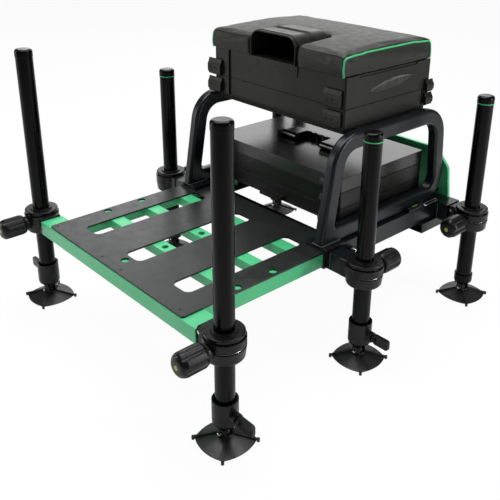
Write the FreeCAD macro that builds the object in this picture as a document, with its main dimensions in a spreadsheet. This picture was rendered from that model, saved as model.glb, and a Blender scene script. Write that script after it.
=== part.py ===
"""Fishing seat box on six adjustable legs, with a sliding footplate and two hinged cases.

Frame: X to the right of the person seated, Y to the back, Z up, origin on the ground
at the centre of the outline. Sizes are in millimetres and stand in the sheet "Sizes".
"""
import FreeCAD, Part
import math
import os
import Sketcher
from FreeCAD import Placement, Rotation, Vector

os.makedirs("parts", exist_ok=True)
doc = FreeCAD.newDocument("seat_box")

SIZES = [
    # legs, caps and the stance of the six legs
    ("leg_r", "18"), ("leg_wall", "2"), ("leg_x", "325"), ("front_leg_y", "360"),
    ("rear_leg_y", "385"), ("front_leg_top", "594"), ("main_leg_top", "497"),
    ("cap_len", "16"), ("cap_round", "6"), ("cap_lip", "0.6"),
    ("bore_gap", "0.08"), ("face_gap", "0.3"),
    # clamps that grip the legs
    ("clamp_low", "180"), ("clamp_r", "38"), ("clamp_taper", "2"), ("clamp_fillet", "6"),
    ("body_rise", "24"), ("slit_rise", "5"), ("slit_ring_r", "35"), ("step_rise", "4"),
    ("lower_disc", "9"), ("disc_groove", "4"), ("groove_depth", "4.5"), ("upper_disc", "5.5"),
    ("upper_disc_r", "36"), ("collar_rise", "2.5"), ("collar_r", "24"), ("slit_angle", "120"),
    ("boss_reach", "47"), ("boss_width", "44"), ("boss_rise", "40"), ("boss_base", "184"),
    ("lug_r", "14"), ("lug_reach", "39"), ("screw_r", "4"), ("screw_height", "204"),
    # hand knobs of the clamps
    ("knob_r", "22.5"), ("knob_len", "61"), ("knob_collar_r", "16"), ("knob_collar", "7"),
    ("knob_round", "13"), ("flute_r", "8"), ("flute_depth", "3.2"), ("flute_count", "6"),
    # adjustable sleeves with their wing knobs
    ("sleeve_r", "24"), ("sleeve_low", "38"), ("sleeve_rise", "54"), ("sleeve_floor", "10"),
    ("sleeve_round", "10"), ("sleeve_lip", "3"), ("screw_tip", "5"),
    ("stem_r", "7"), ("ball_r", "9"), ("ball_height", "21"),
    ("side_boss_r", "11"), ("side_boss_reach", "34"), ("side_boss_rise", "28"),
    ("wing_screw_r", "3"), ("wing_hub_r", "8"), ("wing_hub_len", "9"), ("wing_len", "40"),
    ("wing_width", "22"), ("wing_thick", "7"),
    ("rear_cap_r", "21"), ("rear_cap_rise", "22"), ("rear_cap_floor", "6"),
    # mud feet
    ("foot_half", "41"), ("tip_r", "3"), ("shell_edge", "3"), ("shell_rise", "14"),
    ("shell_wall", "2.5"), ("shell_bulge_r", "81"), ("rib_width", "4"), ("rib_rise", "2.5"),
    ("hub_r", "13.5"), ("hub_low", "8"), ("hub_top", "31"), ("socket_gap", "0.3"),
    ("bolt_boss_r", "5"), ("bolt_boss_len", "2.5"),
    # chassis: channels, cross tubes, hoops and rear panel
    ("rail_low", "189"), ("rail_rise", "30"), ("rail_width", "30"), ("plate_thick", "4"),
    ("half_plate", "239"), ("slide_gap", "0.3"), ("web", "4"), ("flange", "3"),
    ("channel_depth", "56"), ("channel_front", "28"), ("rear_tube_y", "355"),
    ("rear_tube_depth", "50"), ("tube_wall", "2.5"), ("stub_width", "40"),
    ("front_tube_rise", "20"), ("front_tube_reach", "258"), ("front_tube_width", "40"),
    ("front_tube_y", "77"),
    ("short_tube_y", "300"), ("short_tube_rise", "23"), ("short_tube_width", "40"),
    ("short_tube_end", "388"), ("short_tube_out", "9"),
    ("base_plate_thick", "5"), ("base_plate_in", "187"), ("base_plate_out", "247"),
    ("base_plate_rear", "30"),
    ("hoop_x", "221"), ("hoop_width", "25"), ("hoop_depth", "35"),
    ("hoop_round", "7"), ("hoop_bend", "56"), ("hoop_heel_bend", "45"), ("hoop_top", "456.5"),
    ("hoop_front_y", "11"), ("hoop_front_lean", "0.169"), ("hoop_rear_y", "381"),
    ("hoop_rear_lean", "0.097"),
    ("panel_y", "396"), ("panel_thick", "3"), ("panel_half", "252"), ("panel_shoulder", "300"),
    ("panel_top_half", "205"), ("panel_top", "342"), ("panel_flange", "8"), ("panel_round", "24"),
    ("level_r", "6.5"), ("level_y", "250"), ("level_len", "55"), ("vial_r", "3.6"),
    ("vial_len", "30"),
    # footplate
    ("beam_depth", "50"), ("plate_rear", "30"), ("rail_rear", "130"), ("plate_front_gap", "2"),
    ("slot_pitch", "158"), ("slot_width", "51"), ("slot_front", "330"), ("slot_rear", "32"),
    ("slot_round", "14"), ("hole_r", "9"), ("hole_x", "226"), ("hole_y1", "156"),
    ("hole_y2", "247"), ("rung_depth", "30"), ("rung_rise", "20"), ("rung_hole_r", "7.5"),
    ("rung_y1", "249"), ("rung_y2", "153.5"), ("rung_y3", "58.5"),
        ("pin_r", "4"), ("pin_y", "50"), ("pin_height", "206"), ("pin_head_r", "9"),
    ("pin_head_len", "14"), ("pin_boss_r", "8"), ("pin_boss_len", "8"),
    # cases: a lower case with a drawer and a lid, and an upper case that carries the cushion
    ("case_half", "205"), ("case_front", "56"), ("case_rear", "341"), ("case_wall", "4"),
    ("case_stand", "15.7"), ("case_base_rise", "38"), ("case_tray_rise", "37"),
    ("case_lid_rise", "31"), ("tube_plug", "3"),
    ("corner_width", "50"), ("panel_inset", "4"), ("case_round", "5"), ("case_lip", "1.5"),
    ("drawer_half", "138"), ("drawer_rise", "30"), ("drawer_length", "250"),
    ("pull_half", "34"), ("pull_reach", "16"), ("pull_rise", "8"), ("pull_lift", "4"),
    ("handle_half", "88"), ("handle_y", "165"), ("handle_depth", "55"), ("handle_rise", "16"),
    ("grip_half", "40"), ("handle_bar", "16"), ("handle_pin_r", "3"), ("handle_lug", "12"),
    ("handle_corner", "14"), ("handle_lift", "0.5"),
    ("seat_sink", "10.5"), ("seat_base_rise", "11"), ("seat_tray_rise", "41"),
    ("seat_lid_rise", "66"), ("side_groove", "4"), ("side_groove_y", "315"),
    ("seat_skirt", "8"), ("lug_y1", "110"), ("lug_y2", "290"), ("seat_lug_width", "36"),
    ("notch_front", "95"), ("notch_rear", "290"), ("notch_rise", "5"),
    ("grip_front", "125"), ("grip_rear", "280"), ("grip_drop", "40"), ("grip_rise", "14"),
    ("grip_bow_r", "270"), ("grip_depth", "2.6"),
    ("hinge_x", "130"), ("hinge_width", "40"), ("hinge_r", "5"), ("hinge_pin_r", "2.5"),
    ("latch_x", "174"), ("seat_latch_left_x", "199"), ("case_latch_left_x", "183"),
    ("latch_width", "46"), ("latch_thick", "9"),
    ("latch_rise", "36"), ("latch_barrel_r", "4"), ("latch_mark", "1"),
    ("side_latch_y", "334"), ("side_latch_width", "26"),
    # cushion and the open pocket let into it
    ("cushion_front", "45"), ("cushion_rear", "343"), ("cushion_rise", "50"),
    ("cushion_crown", "5"), ("cushion_end_drop", "3"), ("cushion_round", "27"),
    ("cushion_tuck", "3"), ("cushion_tuck_rise", "12"),
    ("recess_half", "72.5"), ("recess_rear", "165"), ("recess_round", "22"),
    ("pocket_half", "70"), ("pocket_rear", "160"), ("pocket_rise", "62"), ("pocket_wall", "3"),
    ("pocket_round", "26"), ("pocket_front", "48"),
]

# heights that stand one on the other, all from the channels below or the hoops above
LEVELS = [
    ("channel_crest", "=rail_low + rail_rise + plate_thick + slide_gap + flange"),
    ("case_low", "=channel_crest + case_stand"),
    ("case_seam1", "=case_low + case_base_rise"),
    ("case_seam2", "=case_seam1 + case_tray_rise"),
    ("case_top", "=case_seam2 + case_lid_rise"),
    ("seat_low", "=hoop_top - seat_sink"),
    ("seat_seam1", "=seat_low + seat_base_rise"),
    ("seat_seam2", "=seat_seam1 + seat_tray_rise"),
    ("seat_top", "=seat_seam2 + seat_lid_rise"),
]

sheet = doc.addObject("Spreadsheet::Sheet", "Sizes")
for row, (alias, number) in enumerate(SIZES + LEVELS, start=1):
    sheet.set("A%d" % row, alias)
    sheet.set("B%d" % row, number)
    sheet.setAlias("B%d" % row, alias)
doc.recompute()


class Size:
    """A length or ratio that keeps its number and the sheet expression it comes from."""

    def __init__(self, text, number):
        self.text = text
        self.number = float(number)

    def join(self, sign, other, number):
        return Size("(%s %s %s)" % (self.text, sign, size(other).text), number)

    def __add__(self, other):
        return self.join("+", other, self.number + size(other).number)

    def __radd__(self, other):
        return size(other) + self

    def __sub__(self, other):
        return self.join("-", other, self.number - size(other).number)

    def __rsub__(self, other):
        return size(other) - self

    def __mul__(self, other):
        return self.join("*", other, self.number * size(other).number)

    def __rmul__(self, other):
        return size(other) * self

    def __truediv__(self, other):
        return self.join("/", other, self.number / size(other).number)

    def __neg__(self):
        return size(0) - self

    def root(self):
        return Size("sqrt(%s)" % self.text, self.number ** 0.5)


def size(item):
    """The item itself if it is a Size, or a plain number as one."""
    if isinstance(item, Size):
        return item
    return Size("%.6f" % item, item)


class Sheet:
    """The sheet's sizes by name."""


s = Sheet()
for alias, number in SIZES + LEVELS:
    setattr(s, alias, Size("Sizes." + alias, sheet.get(alias)))

PLANES = {"XY": "XY_Plane", "XZ": "XZ_Plane", "YZ": "YZ_Plane"}


def bind(thing, field, amount):
    """Tie one property to the sheet."""
    thing.setExpression(field, size(amount).text)


def rectangle(u0, v0, u1, v1):
    return [(u0, v0), (u1, v0), (u1, v1), (u0, v1)]


def rounded(u0, v0, u1, v1, r):
    """A rectangle with quarter-circle corners, as points and the radius to the next."""
    return [
        (u0 + r, v0), (u1 - r, v0, r), (u1, v0 + r), (u1, v1 - r, r),
        (u1 - r, v1), (u0 + r, v1, r), (u0, v1 - r), (u0, v0 + r, r),
    ]


def circle(u, v, r):
    return ("circle", u, v, r)


def pin_point(sketch, index, position, u, v):
    """Fix one point of a sketch from the sketch's origin, by the sheet."""
    for kind, amount in (("DistanceX", u), ("DistanceY", v)):
        amount = size(amount)
        number = sketch.addConstraint(
            Sketcher.Constraint(kind, -1, 1, index, position, amount.number)
        )
        bind(sketch, "Constraints[%d]" % number, amount)


def arc_between(p, q, radius):
    """The short arc from p to q that turns left, or right where the radius is negative."""
    if radius < 0:
        return arc_between(q, p, -radius)
    chord = q - p
    half = chord.Length / 2
    reach = max(radius * radius - half * half, 0.0) ** 0.5
    centre = (p + q) / 2 + Vector(-chord.y, chord.x, 0).normalize() * reach
    first = math.atan2(p.y - centre.y, p.x - centre.x)
    last = math.atan2(q.y - centre.y, q.x - centre.x)
    if last < first:
        last += 2 * math.pi
    round_line = Part.Circle(centre, Vector(0, 0, 1), radius)
    return Part.ArcOfCircle(round_line, first, last)


def draw_loop(sketch, loop):
    """Add one closed loop of lines and arcs, or a circle, with all its sizes bound."""
    if loop[0] == "circle":
        _, u, v, r = loop
        start = Vector(size(u).number, size(v).number, 0)
        index = sketch.addGeometry(Part.Circle(start, Vector(0, 0, 1), size(r).number), False)
        pin_point(sketch, index, 3, u, v)
        number = sketch.addConstraint(
            Sketcher.Constraint("Radius", index, size(r).number)
        )
        bind(sketch, "Constraints[%d]" % number, r)
        return
    corners = [Vector(size(c[0]).number, size(c[1]).number, 0) for c in loop]
    ends = []
    for place, corner in enumerate(loop):
        p = corners[place]
        q = corners[(place + 1) % len(loop)]
        if len(corner) == 3:
            arc = arc_between(p, q, size(corner[2]).number)
            index = sketch.addGeometry(arc, False)
            bow = sketch.Geometry[index]
            forward = (bow.StartPoint - p).Length < (bow.EndPoint - p).Length
            ends.append((index, 1, 2) if forward else (index, 2, 1))
        else:
            index = sketch.addGeometry(Part.LineSegment(p, q), False)
            ends.append((index, 1, 2))
    for place, corner in enumerate(loop):
        index, first, last = ends[place]
        after, begin, _ = ends[(place + 1) % len(loop)]
        sketch.addConstraint(Sketcher.Constraint("Coincident", index, last, after, begin))
        pin_point(sketch, index, first, corner[0], corner[1])
        if len(corner) == 3:
            radius = size(corner[2])
            if radius.number < 0:
                radius = -radius
            number = sketch.addConstraint(Sketcher.Constraint("Radius", index, radius.number))
            bind(sketch, "Constraints[%d]" % number, radius)


def sketch_on(body, plane, loops, offset=0, turn=0, shift=None):
    """A sketch on one of the body's own planes, moved along its normal by offset."""
    sketch = body.newObject("Sketcher::SketchObject", body.Name + "_sketch")
    for feature in body.Origin.OriginFeatures:
        if feature.Role == PLANES[plane]:
            sketch.AttachmentSupport = [(feature, "")]
    sketch.MapMode = "FlatFace"
    if turn:
        sketch.AttachmentOffset = Placement(Vector(), Rotation(Vector(0, 1, 0), turn))
    if shift is not None:
        bind(sketch, "AttachmentOffset.Base.x", shift[0])
        bind(sketch, "AttachmentOffset.Base.y", shift[1])
    bind(sketch, "AttachmentOffset.Base.z", offset)
    for loop in loops:
        draw_loop(sketch, loop)
    return sketch


def new_body(label):
    body = doc.addObject("PartDesign::Body", label)
    body.Label = label
    return body


def pad(body, plane, loops, low, high, turn=0):
    """Add a prism between two heights along the plane's normal axis."""
    offset = -size(high) if plane == "XZ" else size(low)
    feature = body.newObject("PartDesign::Pad", body.Name + "_pad")
    feature.Profile = sketch_on(body, plane, loops, offset, turn)
    bind(feature, "Length", size(high) - size(low))
    return feature


def cut(body, plane, loops, low, high):
    """Cut a prism between two heights along the plane's normal axis."""
    offset = -size(low) if plane == "XZ" else size(high)
    feature = body.newObject("PartDesign::Pocket", body.Name + "_cut")
    feature.Profile = sketch_on(body, plane, loops, offset)
    bind(feature, "Length", size(high) - size(low))
    return feature


def turned(body, loops, kind="Revolution", shift=None, angle=360):
    """Turn a profile of (radius, height) about the upright axis, added or cut."""
    sketch = sketch_on(body, "XZ", loops, 0 if shift is None else -size(shift[1]),
                       0, None if shift is None else (shift[0], 0))
    feature = body.newObject("PartDesign::" + kind, body.Name + "_turn")
    feature.Profile = sketch
    feature.ReferenceAxis = (sketch, ["V_Axis"])
    if isinstance(angle, Size):
        feature.Midplane = True
        bind(feature, "Angle", angle)
    else:
        feature.Angle = angle
    return feature


def loft(body, kind, sections, ruled):
    """A loft through sketches on parallel planes, each (plane, loop, offset)."""
    sketches = [sketch_on(body, plane, [loop], offset) for plane, loop, offset in sections]
    feature = body.newObject("PartDesign::" + kind, body.Name + "_loft")
    feature.Profile = sketches[0]
    feature.Sections = sketches[1:]
    feature.Ruled = ruled
    return feature


def repeat(body, features, count, angle=360):
    """Repeat features evenly round the upright axis."""
    pattern = body.newObject("PartDesign::PolarPattern", body.Name + "_pattern")
    pattern.Originals = features
    for feature in body.Origin.OriginFeatures:
        if feature.Role == "Z_Axis":
            pattern.Axis = (feature, [""])
    pattern.Angle = angle
    if isinstance(count, Size):
        bind(pattern, "Occurrences", count)
    else:
        pattern.Occurrences = count
    body.Tip = pattern
    return pattern


def round_edges(body, radius, chosen):
    """Fillet the edges of the body so far that the test picks."""
    doc.recompute()
    tip = body.Tip
    names = [
        "Edge%d" % (place + 1)
        for place, edge in enumerate(tip.Shape.Edges)
        if chosen(edge)
    ]
    if not names:
        raise RuntimeError("no edge to round on " + body.Label)
    feature = body.newObject("PartDesign::Fillet", body.Name + "_round")
    feature.Base = (tip, names)
    bind(feature, "Radius", radius)
    return feature


def along(edge, axis):
    """True where a straight edge runs along the axis, given as X, Y or Z."""
    if not isinstance(edge.Curve, (Part.Line, Part.LineSegment)):
        return False
    return abs(abs(getattr(edge.tangentAt(edge.FirstParameter), axis.lower())) - 1) < 1e-6


def middle(edge):
    return edge.valueAt((edge.FirstParameter + edge.LastParameter) / 2)


def near(amount, target, within=0.2):
    return abs(amount - size(target).number) < within


# the legs stand about Y = 0 at the middle pair; the outline is then centred on the origin
shell_half = s.foot_half - 2
bulge = s.shell_bulge_r - (s.shell_bulge_r * s.shell_bulge_r - shell_half * shell_half).root()
front_end = s.front_leg_y + s.lug_reach + s.knob_len
rear_end = s.rear_leg_y + shell_half + bulge
shift_y = (front_end - rear_end) / 2
nodes = []


def finish(thing):
    """Keep a thing as a node and move it to its place in the frame."""
    bind(thing, "Placement.Base.y", shift_y)
    nodes.append(thing)
    return thing


def copies(label, source, places):
    """A node that holds the source once at each (x, y, turn about Z)."""
    if len(places) == 1:
        node = doc.addObject("Part::Compound", label)
        node.Links = [source]
        x, y, turn = places[0]
        node.Placement = Placement(Vector(), Rotation(Vector(0, 0, 1), turn))
        bind(node, "Placement.Base.x", x)
        bind(node, "Placement.Base.y", size(y) + shift_y)
        nodes.append(node)
        return node
    members = []
    for number, (x, y, turn) in enumerate(places):
        member = doc.addObject("Part::Compound", "%s_member_%d" % (label, number + 1))
        member.Links = [source[number] if isinstance(source, list) else source]
        member.Placement = Placement(Vector(), Rotation(Vector(0, 0, 1), turn))
        bind(member, "Placement.Base.x", x)
        bind(member, "Placement.Base.y", y)
        members.append(member)
    node = doc.addObject("Part::Compound", label)
    node.Links = members
    return finish(node)


def mirrored(label, source):
    """The left-hand twin of a thing, which follows its source's place."""
    node = doc.addObject("Part::Mirroring", label)
    node.Source = source
    node.Normal = (1, 0, 0)
    return node


# channel and rail heights, all from the green rails
channel_low = s.rail_low - s.slide_gap - s.flange
channel_top = s.rail_low + s.rail_rise + s.plate_thick + s.slide_gap + s.flange
rail_top = s.rail_low + s.rail_rise
plate_top = rail_top + s.plate_thick
web_in = s.half_plate + s.slide_gap
web_out = web_in + s.web
tube_end = s.leg_x - s.boss_reach
flange_in = web_out - s.channel_depth

# clamp heights from the bottom up
slit_low = s.clamp_low + s.body_rise
slit_top = slit_low + s.slit_rise
disc_low = slit_top + s.step_rise
disc_top = disc_low + s.lower_disc
cap_low = disc_top + s.disc_groove
cap_top = cap_low + s.upper_disc
clamp_top = cap_top + s.collar_rise


def make_clamp():
    """A collar on the leg with its slit, discs, side boss towards -X and screw lug to -Y."""
    clamp = new_body("clamp_form")
    bore = s.leg_r + s.bore_gap
    f = s.clamp_fillet
    low_r = s.clamp_r - s.clamp_taper
    turned(clamp, [[
        (bore, s.clamp_low), (low_r - f, s.clamp_low, f), (low_r, s.clamp_low + f),
        (s.clamp_r, slit_low), (s.clamp_r, disc_top), (s.clamp_r - s.groove_depth, disc_top),
        (s.clamp_r - s.groove_depth, cap_low), (s.upper_disc_r, cap_low),
        (s.upper_disc_r, cap_top - 2, size(2)), (s.upper_disc_r - 2, cap_top),
        (s.collar_r, cap_top), (s.collar_r, clamp_top), (bore, clamp_top),
    ]])
    turned(clamp, [rectangle(s.slit_ring_r, slit_low, s.clamp_r + 1, slit_top)],
           "Groove", None, s.slit_angle)
    half = s.boss_width / 2
    pad(clamp, "YZ", [rounded(-half, s.boss_base, half, s.boss_base + s.boss_rise, size(5))],
        -s.boss_reach, -(s.leg_r + s.groove_depth))
    pad(clamp, "XZ", [circle(0, s.screw_height, s.lug_r)], -s.lug_reach, -(s.leg_r + 4))
    cut(clamp, "XZ", [circle(0, s.screw_height, s.screw_r + s.bore_gap)],
        -(s.lug_reach + 1), -(s.leg_r - 2))
    return clamp


def make_knob():
    """A fluted hand knob with its screw; its axis is upright here and its seat at Z = 0."""
    knob = new_body("knob_form")
    r = s.knob_r
    turned(knob, [[
        (0, -(s.lug_reach - s.leg_r - s.screw_tip)),
        (s.screw_r, -(s.lug_reach - s.leg_r - s.screw_tip)),
        (s.screw_r, s.face_gap), (s.knob_collar_r, s.face_gap),
        (s.knob_collar_r, s.knob_collar - 2), (r - 2, s.knob_collar),
        (r, s.knob_collar + 6), (r, s.knob_len - s.knob_round, s.knob_round),
        (r - s.knob_round, s.knob_len), (0, s.knob_len),
    ]])
    flute = cut(knob, "XY", [circle(r - s.flute_depth + s.flute_r, 0, s.flute_r)],
                s.knob_collar + 3, s.knob_len + 1)
    repeat(knob, [flute], s.flute_count)
    return knob


def make_sleeve():
    """The sleeve on a leg's foot end, with its ball stem below and the screw boss to +X."""
    sleeve = new_body("sleeve_form")
    low = s.sleeve_low
    top = low + s.sleeve_rise
    bore = s.leg_r + s.bore_gap
    b = s.ball_r
    neck = (b * b - s.stem_r * s.stem_r).root()
    turned(sleeve, [[
        (0, s.ball_height - b), (0, low + s.sleeve_floor), (bore, low + s.sleeve_floor),
        (bore, top - 4), (s.sleeve_r - s.sleeve_lip, top), (s.sleeve_r, top),
        (s.sleeve_r, low + s.sleeve_round, -s.sleeve_round), (s.sleeve_r - s.sleeve_round, low),
        (s.stem_r, low), (s.stem_r, s.ball_height + neck, s.ball_r * -1),
        (b, s.ball_height, s.ball_r * -1),
    ]])
    height = low + s.side_boss_rise
    pad(sleeve, "YZ", [circle(0, height, s.side_boss_r)], s.leg_r + 3, s.side_boss_reach)
    cut(sleeve, "YZ", [circle(0, height, s.wing_screw_r + s.bore_gap)],
        s.leg_r - 2, s.side_boss_reach + 1)
    return sleeve


def make_wing():
    """The wing knob of a sleeve: screw, hub and flat paddle along +X."""
    wing = new_body("wing_form")
    height = s.sleeve_low + s.side_boss_rise
    seat = s.side_boss_reach + s.face_gap
    pad(wing, "YZ", [circle(0, height, s.wing_screw_r)], s.leg_r + 1, seat + 1)
    pad(wing, "YZ", [circle(0, height, s.wing_hub_r)], seat, seat + s.wing_hub_len)
    half = s.wing_width / 2
    pad(wing, "XZ", [rounded(seat + 3, height - half, seat + s.wing_len, height + half,
                             size(5))], -s.wing_thick / 2, s.wing_thick / 2)
    return wing


def bulged_square(half, radius):
    """A square with its sides bowed outward, in counter-clockwise order."""
    return [(half, -half, radius), (half, half, radius), (-half, half, radius),
            (-half, -half, radius)]


def make_foot():
    """A shallow ribbed shell on four round tips, with an open socket for the ball."""
    foot = new_body("foot_form")
    edge = shell_half
    core = s.hub_r - 2
    neck = core * 0.7071
    top = s.shell_edge + s.shell_rise
    loft(foot, "AdditiveLoft", [
        ("XY", bulged_square(edge, s.shell_bulge_r), s.shell_edge),
        ("XY", bulged_square(neck, core), top),
    ], True)
    loft(foot, "SubtractiveLoft", [
        ("XY", bulged_square(edge - s.shell_wall, s.shell_bulge_r - s.shell_wall),
         s.shell_edge),
        ("XY", bulged_square((core - s.shell_wall) * 0.7071, core - s.shell_wall),
         top - s.shell_wall),
    ], True)
    far = s.foot_half * 1.41421
    rib = pad(foot, "XZ", [[
        (s.hub_r - 2, top - s.shell_wall), (far, s.shell_edge - 0.5),
        (far, s.shell_edge + s.rib_rise + 0.5), (s.hub_r - 2, top + s.rib_rise),
    ]], -s.rib_width / 2, s.rib_width / 2, 45)
    tip = pad(foot, "XY", [circle(s.foot_half, s.foot_half, s.tip_r)], 0,
              s.shell_edge + s.rib_rise + 1)
    repeat(foot, [rib, tip], 4)
    pad(foot, "XY", [circle(0, 0, s.hub_r)], s.hub_low, s.hub_top)
    ends = s.hub_r + s.bolt_boss_len
    for low, high in ((-ends, 2 - s.hub_r), (s.hub_r - 2, ends)):
        pad(foot, "XZ", [circle(0, s.ball_height, s.bolt_boss_r)], low, high)
    socket = s.ball_r + s.socket_gap
    turned(foot, [[
        (0, s.ball_height - socket, socket), (socket, s.ball_height),
        (socket, s.hub_top + 1), (0, s.hub_top + 1),
    ]], "Groove")
    cut(foot, "XY", [rectangle(-(s.hub_r + 2), -(s.stem_r + 1), s.hub_r + 2, s.stem_r + 1)],
        s.ball_height - 2, s.hub_top + 1)
    return foot


sleeve_floor_z = s.sleeve_low + s.sleeve_floor
leg_foot_z = sleeve_floor_z + s.face_gap
clamp_right = make_clamp()
clamp_left = mirrored("clamp_form_left", clamp_right)
knob_form = make_knob()
sleeve_form = make_sleeve()
wing_form = make_wing()
foot_form = make_foot()

LEGS = [
    ("front_left", -1, -s.front_leg_y, s.front_leg_top),
    ("front_right", 1, -s.front_leg_y, s.front_leg_top),
    ("middle_left", -1, size(0), s.main_leg_top),
    ("middle_right", 1, size(0), s.main_leg_top),
    ("rear_left", -1, s.rear_leg_y, s.main_leg_top),
    ("rear_right", 1, s.rear_leg_y, s.main_leg_top),
]

for name, side, y, top in LEGS:
    x = s.leg_x * side
    rear = name.startswith("rear")
    leg = new_body("leg_" + name)
    cap_r = s.leg_r + s.cap_lip
    inner = s.leg_r - s.leg_wall
    if rear:
        b = s.ball_r
        neck = (b * b - s.stem_r * s.stem_r).root()
        low = s.sleeve_low - 2
        shoe = [
            (0, s.ball_height - b), (0, low + s.rear_cap_floor),
            (inner, low + s.rear_cap_floor), (inner, top - s.cap_len),
            (0, top - s.cap_len), (0, top), (cap_r - s.cap_round, top, -s.cap_round),
            (cap_r, top - s.cap_round), (cap_r, top - s.cap_len), (s.leg_r, top - s.cap_len),
            (s.leg_r, low + s.rear_cap_rise), (s.rear_cap_r, low + s.rear_cap_rise),
            (s.rear_cap_r, low + s.cap_round, -s.cap_round), (s.rear_cap_r - s.cap_round, low),
            (s.stem_r, low), (s.stem_r, s.ball_height + neck, s.ball_r * -1),
            (b, s.ball_height, s.ball_r * -1),
        ]
        turned(leg, [shoe])
    else:
        turned(leg, [[
            (inner, leg_foot_z), (s.leg_r, leg_foot_z), (s.leg_r, top - s.cap_len),
            (cap_r, top - s.cap_len), (cap_r, top - s.cap_round, s.cap_round),
            (cap_r - s.cap_round, top), (0, top), (0, top - s.cap_len),
            (inner, top - s.cap_len),
        ]])
        copies("sleeve_" + name, sleeve_form, [(x, y, 0 if side > 0 else 180)])
        copies("wing_knob_" + name, wing_form, [(x, y, 0 if side > 0 else 180)])
    leg.Placement = Placement()
    bind(leg, "Placement.Base.x", x)
    bind(leg, "Placement.Base.y", y + shift_y)
    nodes.append(leg)
    copies("foot_" + name, foot_form, [(x, y, 0)])
    knob = doc.addObject("Part::Compound", "clamp_knob_" + name)
    knob.Links = [knob_form]
    aim = 1 if name.startswith("middle") else -1
    knob.Placement = Placement(Vector(), Rotation(Vector(1, 0, 0), -90 * aim))
    bind(knob, "Placement.Base.x", x)
    bind(knob, "Placement.Base.y", y + s.lug_reach * aim + shift_y)
    bind(knob, "Placement.Base.z", s.screw_height)
    nodes.append(knob)

copies("footplate_clamps", [clamp_left, clamp_right],
       [(-s.leg_x, -s.front_leg_y, 0), (s.leg_x, -s.front_leg_y, 0)])
copies("chassis_clamps", [clamp_right, clamp_left, clamp_left, clamp_right], [
    (-s.leg_x, 0, 180), (s.leg_x, 0, 180),
    (-s.leg_x, s.rear_leg_y, 0), (s.leg_x, s.rear_leg_y, 0),
])


def tube_section(u0, v0, u1, v1):
    """Outer and inner rectangles of a square tube."""
    w = s.tube_wall
    return [rectangle(u0, v0, u1, v1), rectangle(u0 + w, v0 + w, u1 - w, v1 - w)]


def make_rail():
    """The right-hand side of the chassis: channel, stub, rear short tube and base plate."""
    rail = new_body("chassis_rail_right")
    inner_low = channel_low + s.flange
    inner_top = channel_top - s.flange
    pad(rail, "XZ", [[
        (flange_in, channel_low), (web_out, channel_low), (web_out, channel_top),
        (flange_in, channel_top), (flange_in, inner_top), (web_in, inner_top),
        (web_in, inner_low), (flange_in, inner_low),
    ]], -s.channel_front, s.rear_tube_y)
    half = s.stub_width / 2
    pad(rail, "YZ", tube_section(-half, channel_low, half, channel_low + s.stub_width - 2),
        web_out - 1, tube_end)
    outer = web_out + s.short_tube_out
    pad(rail, "XZ", tube_section(outer - s.short_tube_width, channel_low - s.short_tube_rise,
                                 outer, channel_low), s.short_tube_y, s.short_tube_end)
    pad(rail, "XY", [rounded(s.base_plate_in, -s.channel_front, s.base_plate_out,
                             s.base_plate_rear, size(4))],
        channel_top, channel_top + s.base_plate_thick)
    side_gap = s.hoop_width / 2 + s.face_gap
    cut(rail, "XY", [rectangle(s.hoop_x - side_gap, -(s.hoop_front_y + s.hoop_depth * 0.6),
                               s.hoop_x + side_gap, s.base_plate_rear + 1)],
        channel_top, channel_top + s.base_plate_thick + 1)
    pad(rail, "YZ", [circle(s.pin_y, s.pin_height, s.pin_boss_r)], web_out - 1,
        web_out + s.pin_boss_len)
    cut(rail, "YZ", [circle(s.pin_y, s.pin_height, s.pin_r + s.bore_gap)],
        web_in - 1, web_out + s.pin_boss_len + 1)
    return rail


finish(make_rail())
nodes.append(mirrored("chassis_rail_left", doc.getObject("chassis_rail_right")))


def make_pin():
    """The spring plunger that locks the footplate: pin, collar and pull head along +X."""
    pin = new_body("pull_pin_right")
    seat = web_out + s.pin_boss_len + s.face_gap
    pad(pin, "YZ", [circle(s.pin_y, s.pin_height, s.pin_r)], web_in + s.slide_gap, seat + 1)
    pad(pin, "YZ", [circle(s.pin_y, s.pin_height, s.pin_head_r)], seat,
        seat + s.pin_head_len)
    return pin


finish(make_pin())
nodes.append(mirrored("pull_pin_left", doc.getObject("pull_pin_right")))

rear_tube = new_body("rear_cross_tube")
pad(rear_tube, "YZ", tube_section(s.rear_tube_y, channel_low,
                                  s.rear_tube_y + s.rear_tube_depth, channel_top),
    -tube_end, tube_end)
finish(rear_tube)

front_tube = new_body("front_cross_tube")
half = s.front_tube_width / 2
pad(front_tube, "YZ", tube_section(s.front_tube_y - half, channel_low - s.front_tube_rise,
                                   s.front_tube_y + half, channel_low),
    -s.front_tube_reach, s.front_tube_reach)
finish(front_tube)


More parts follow.
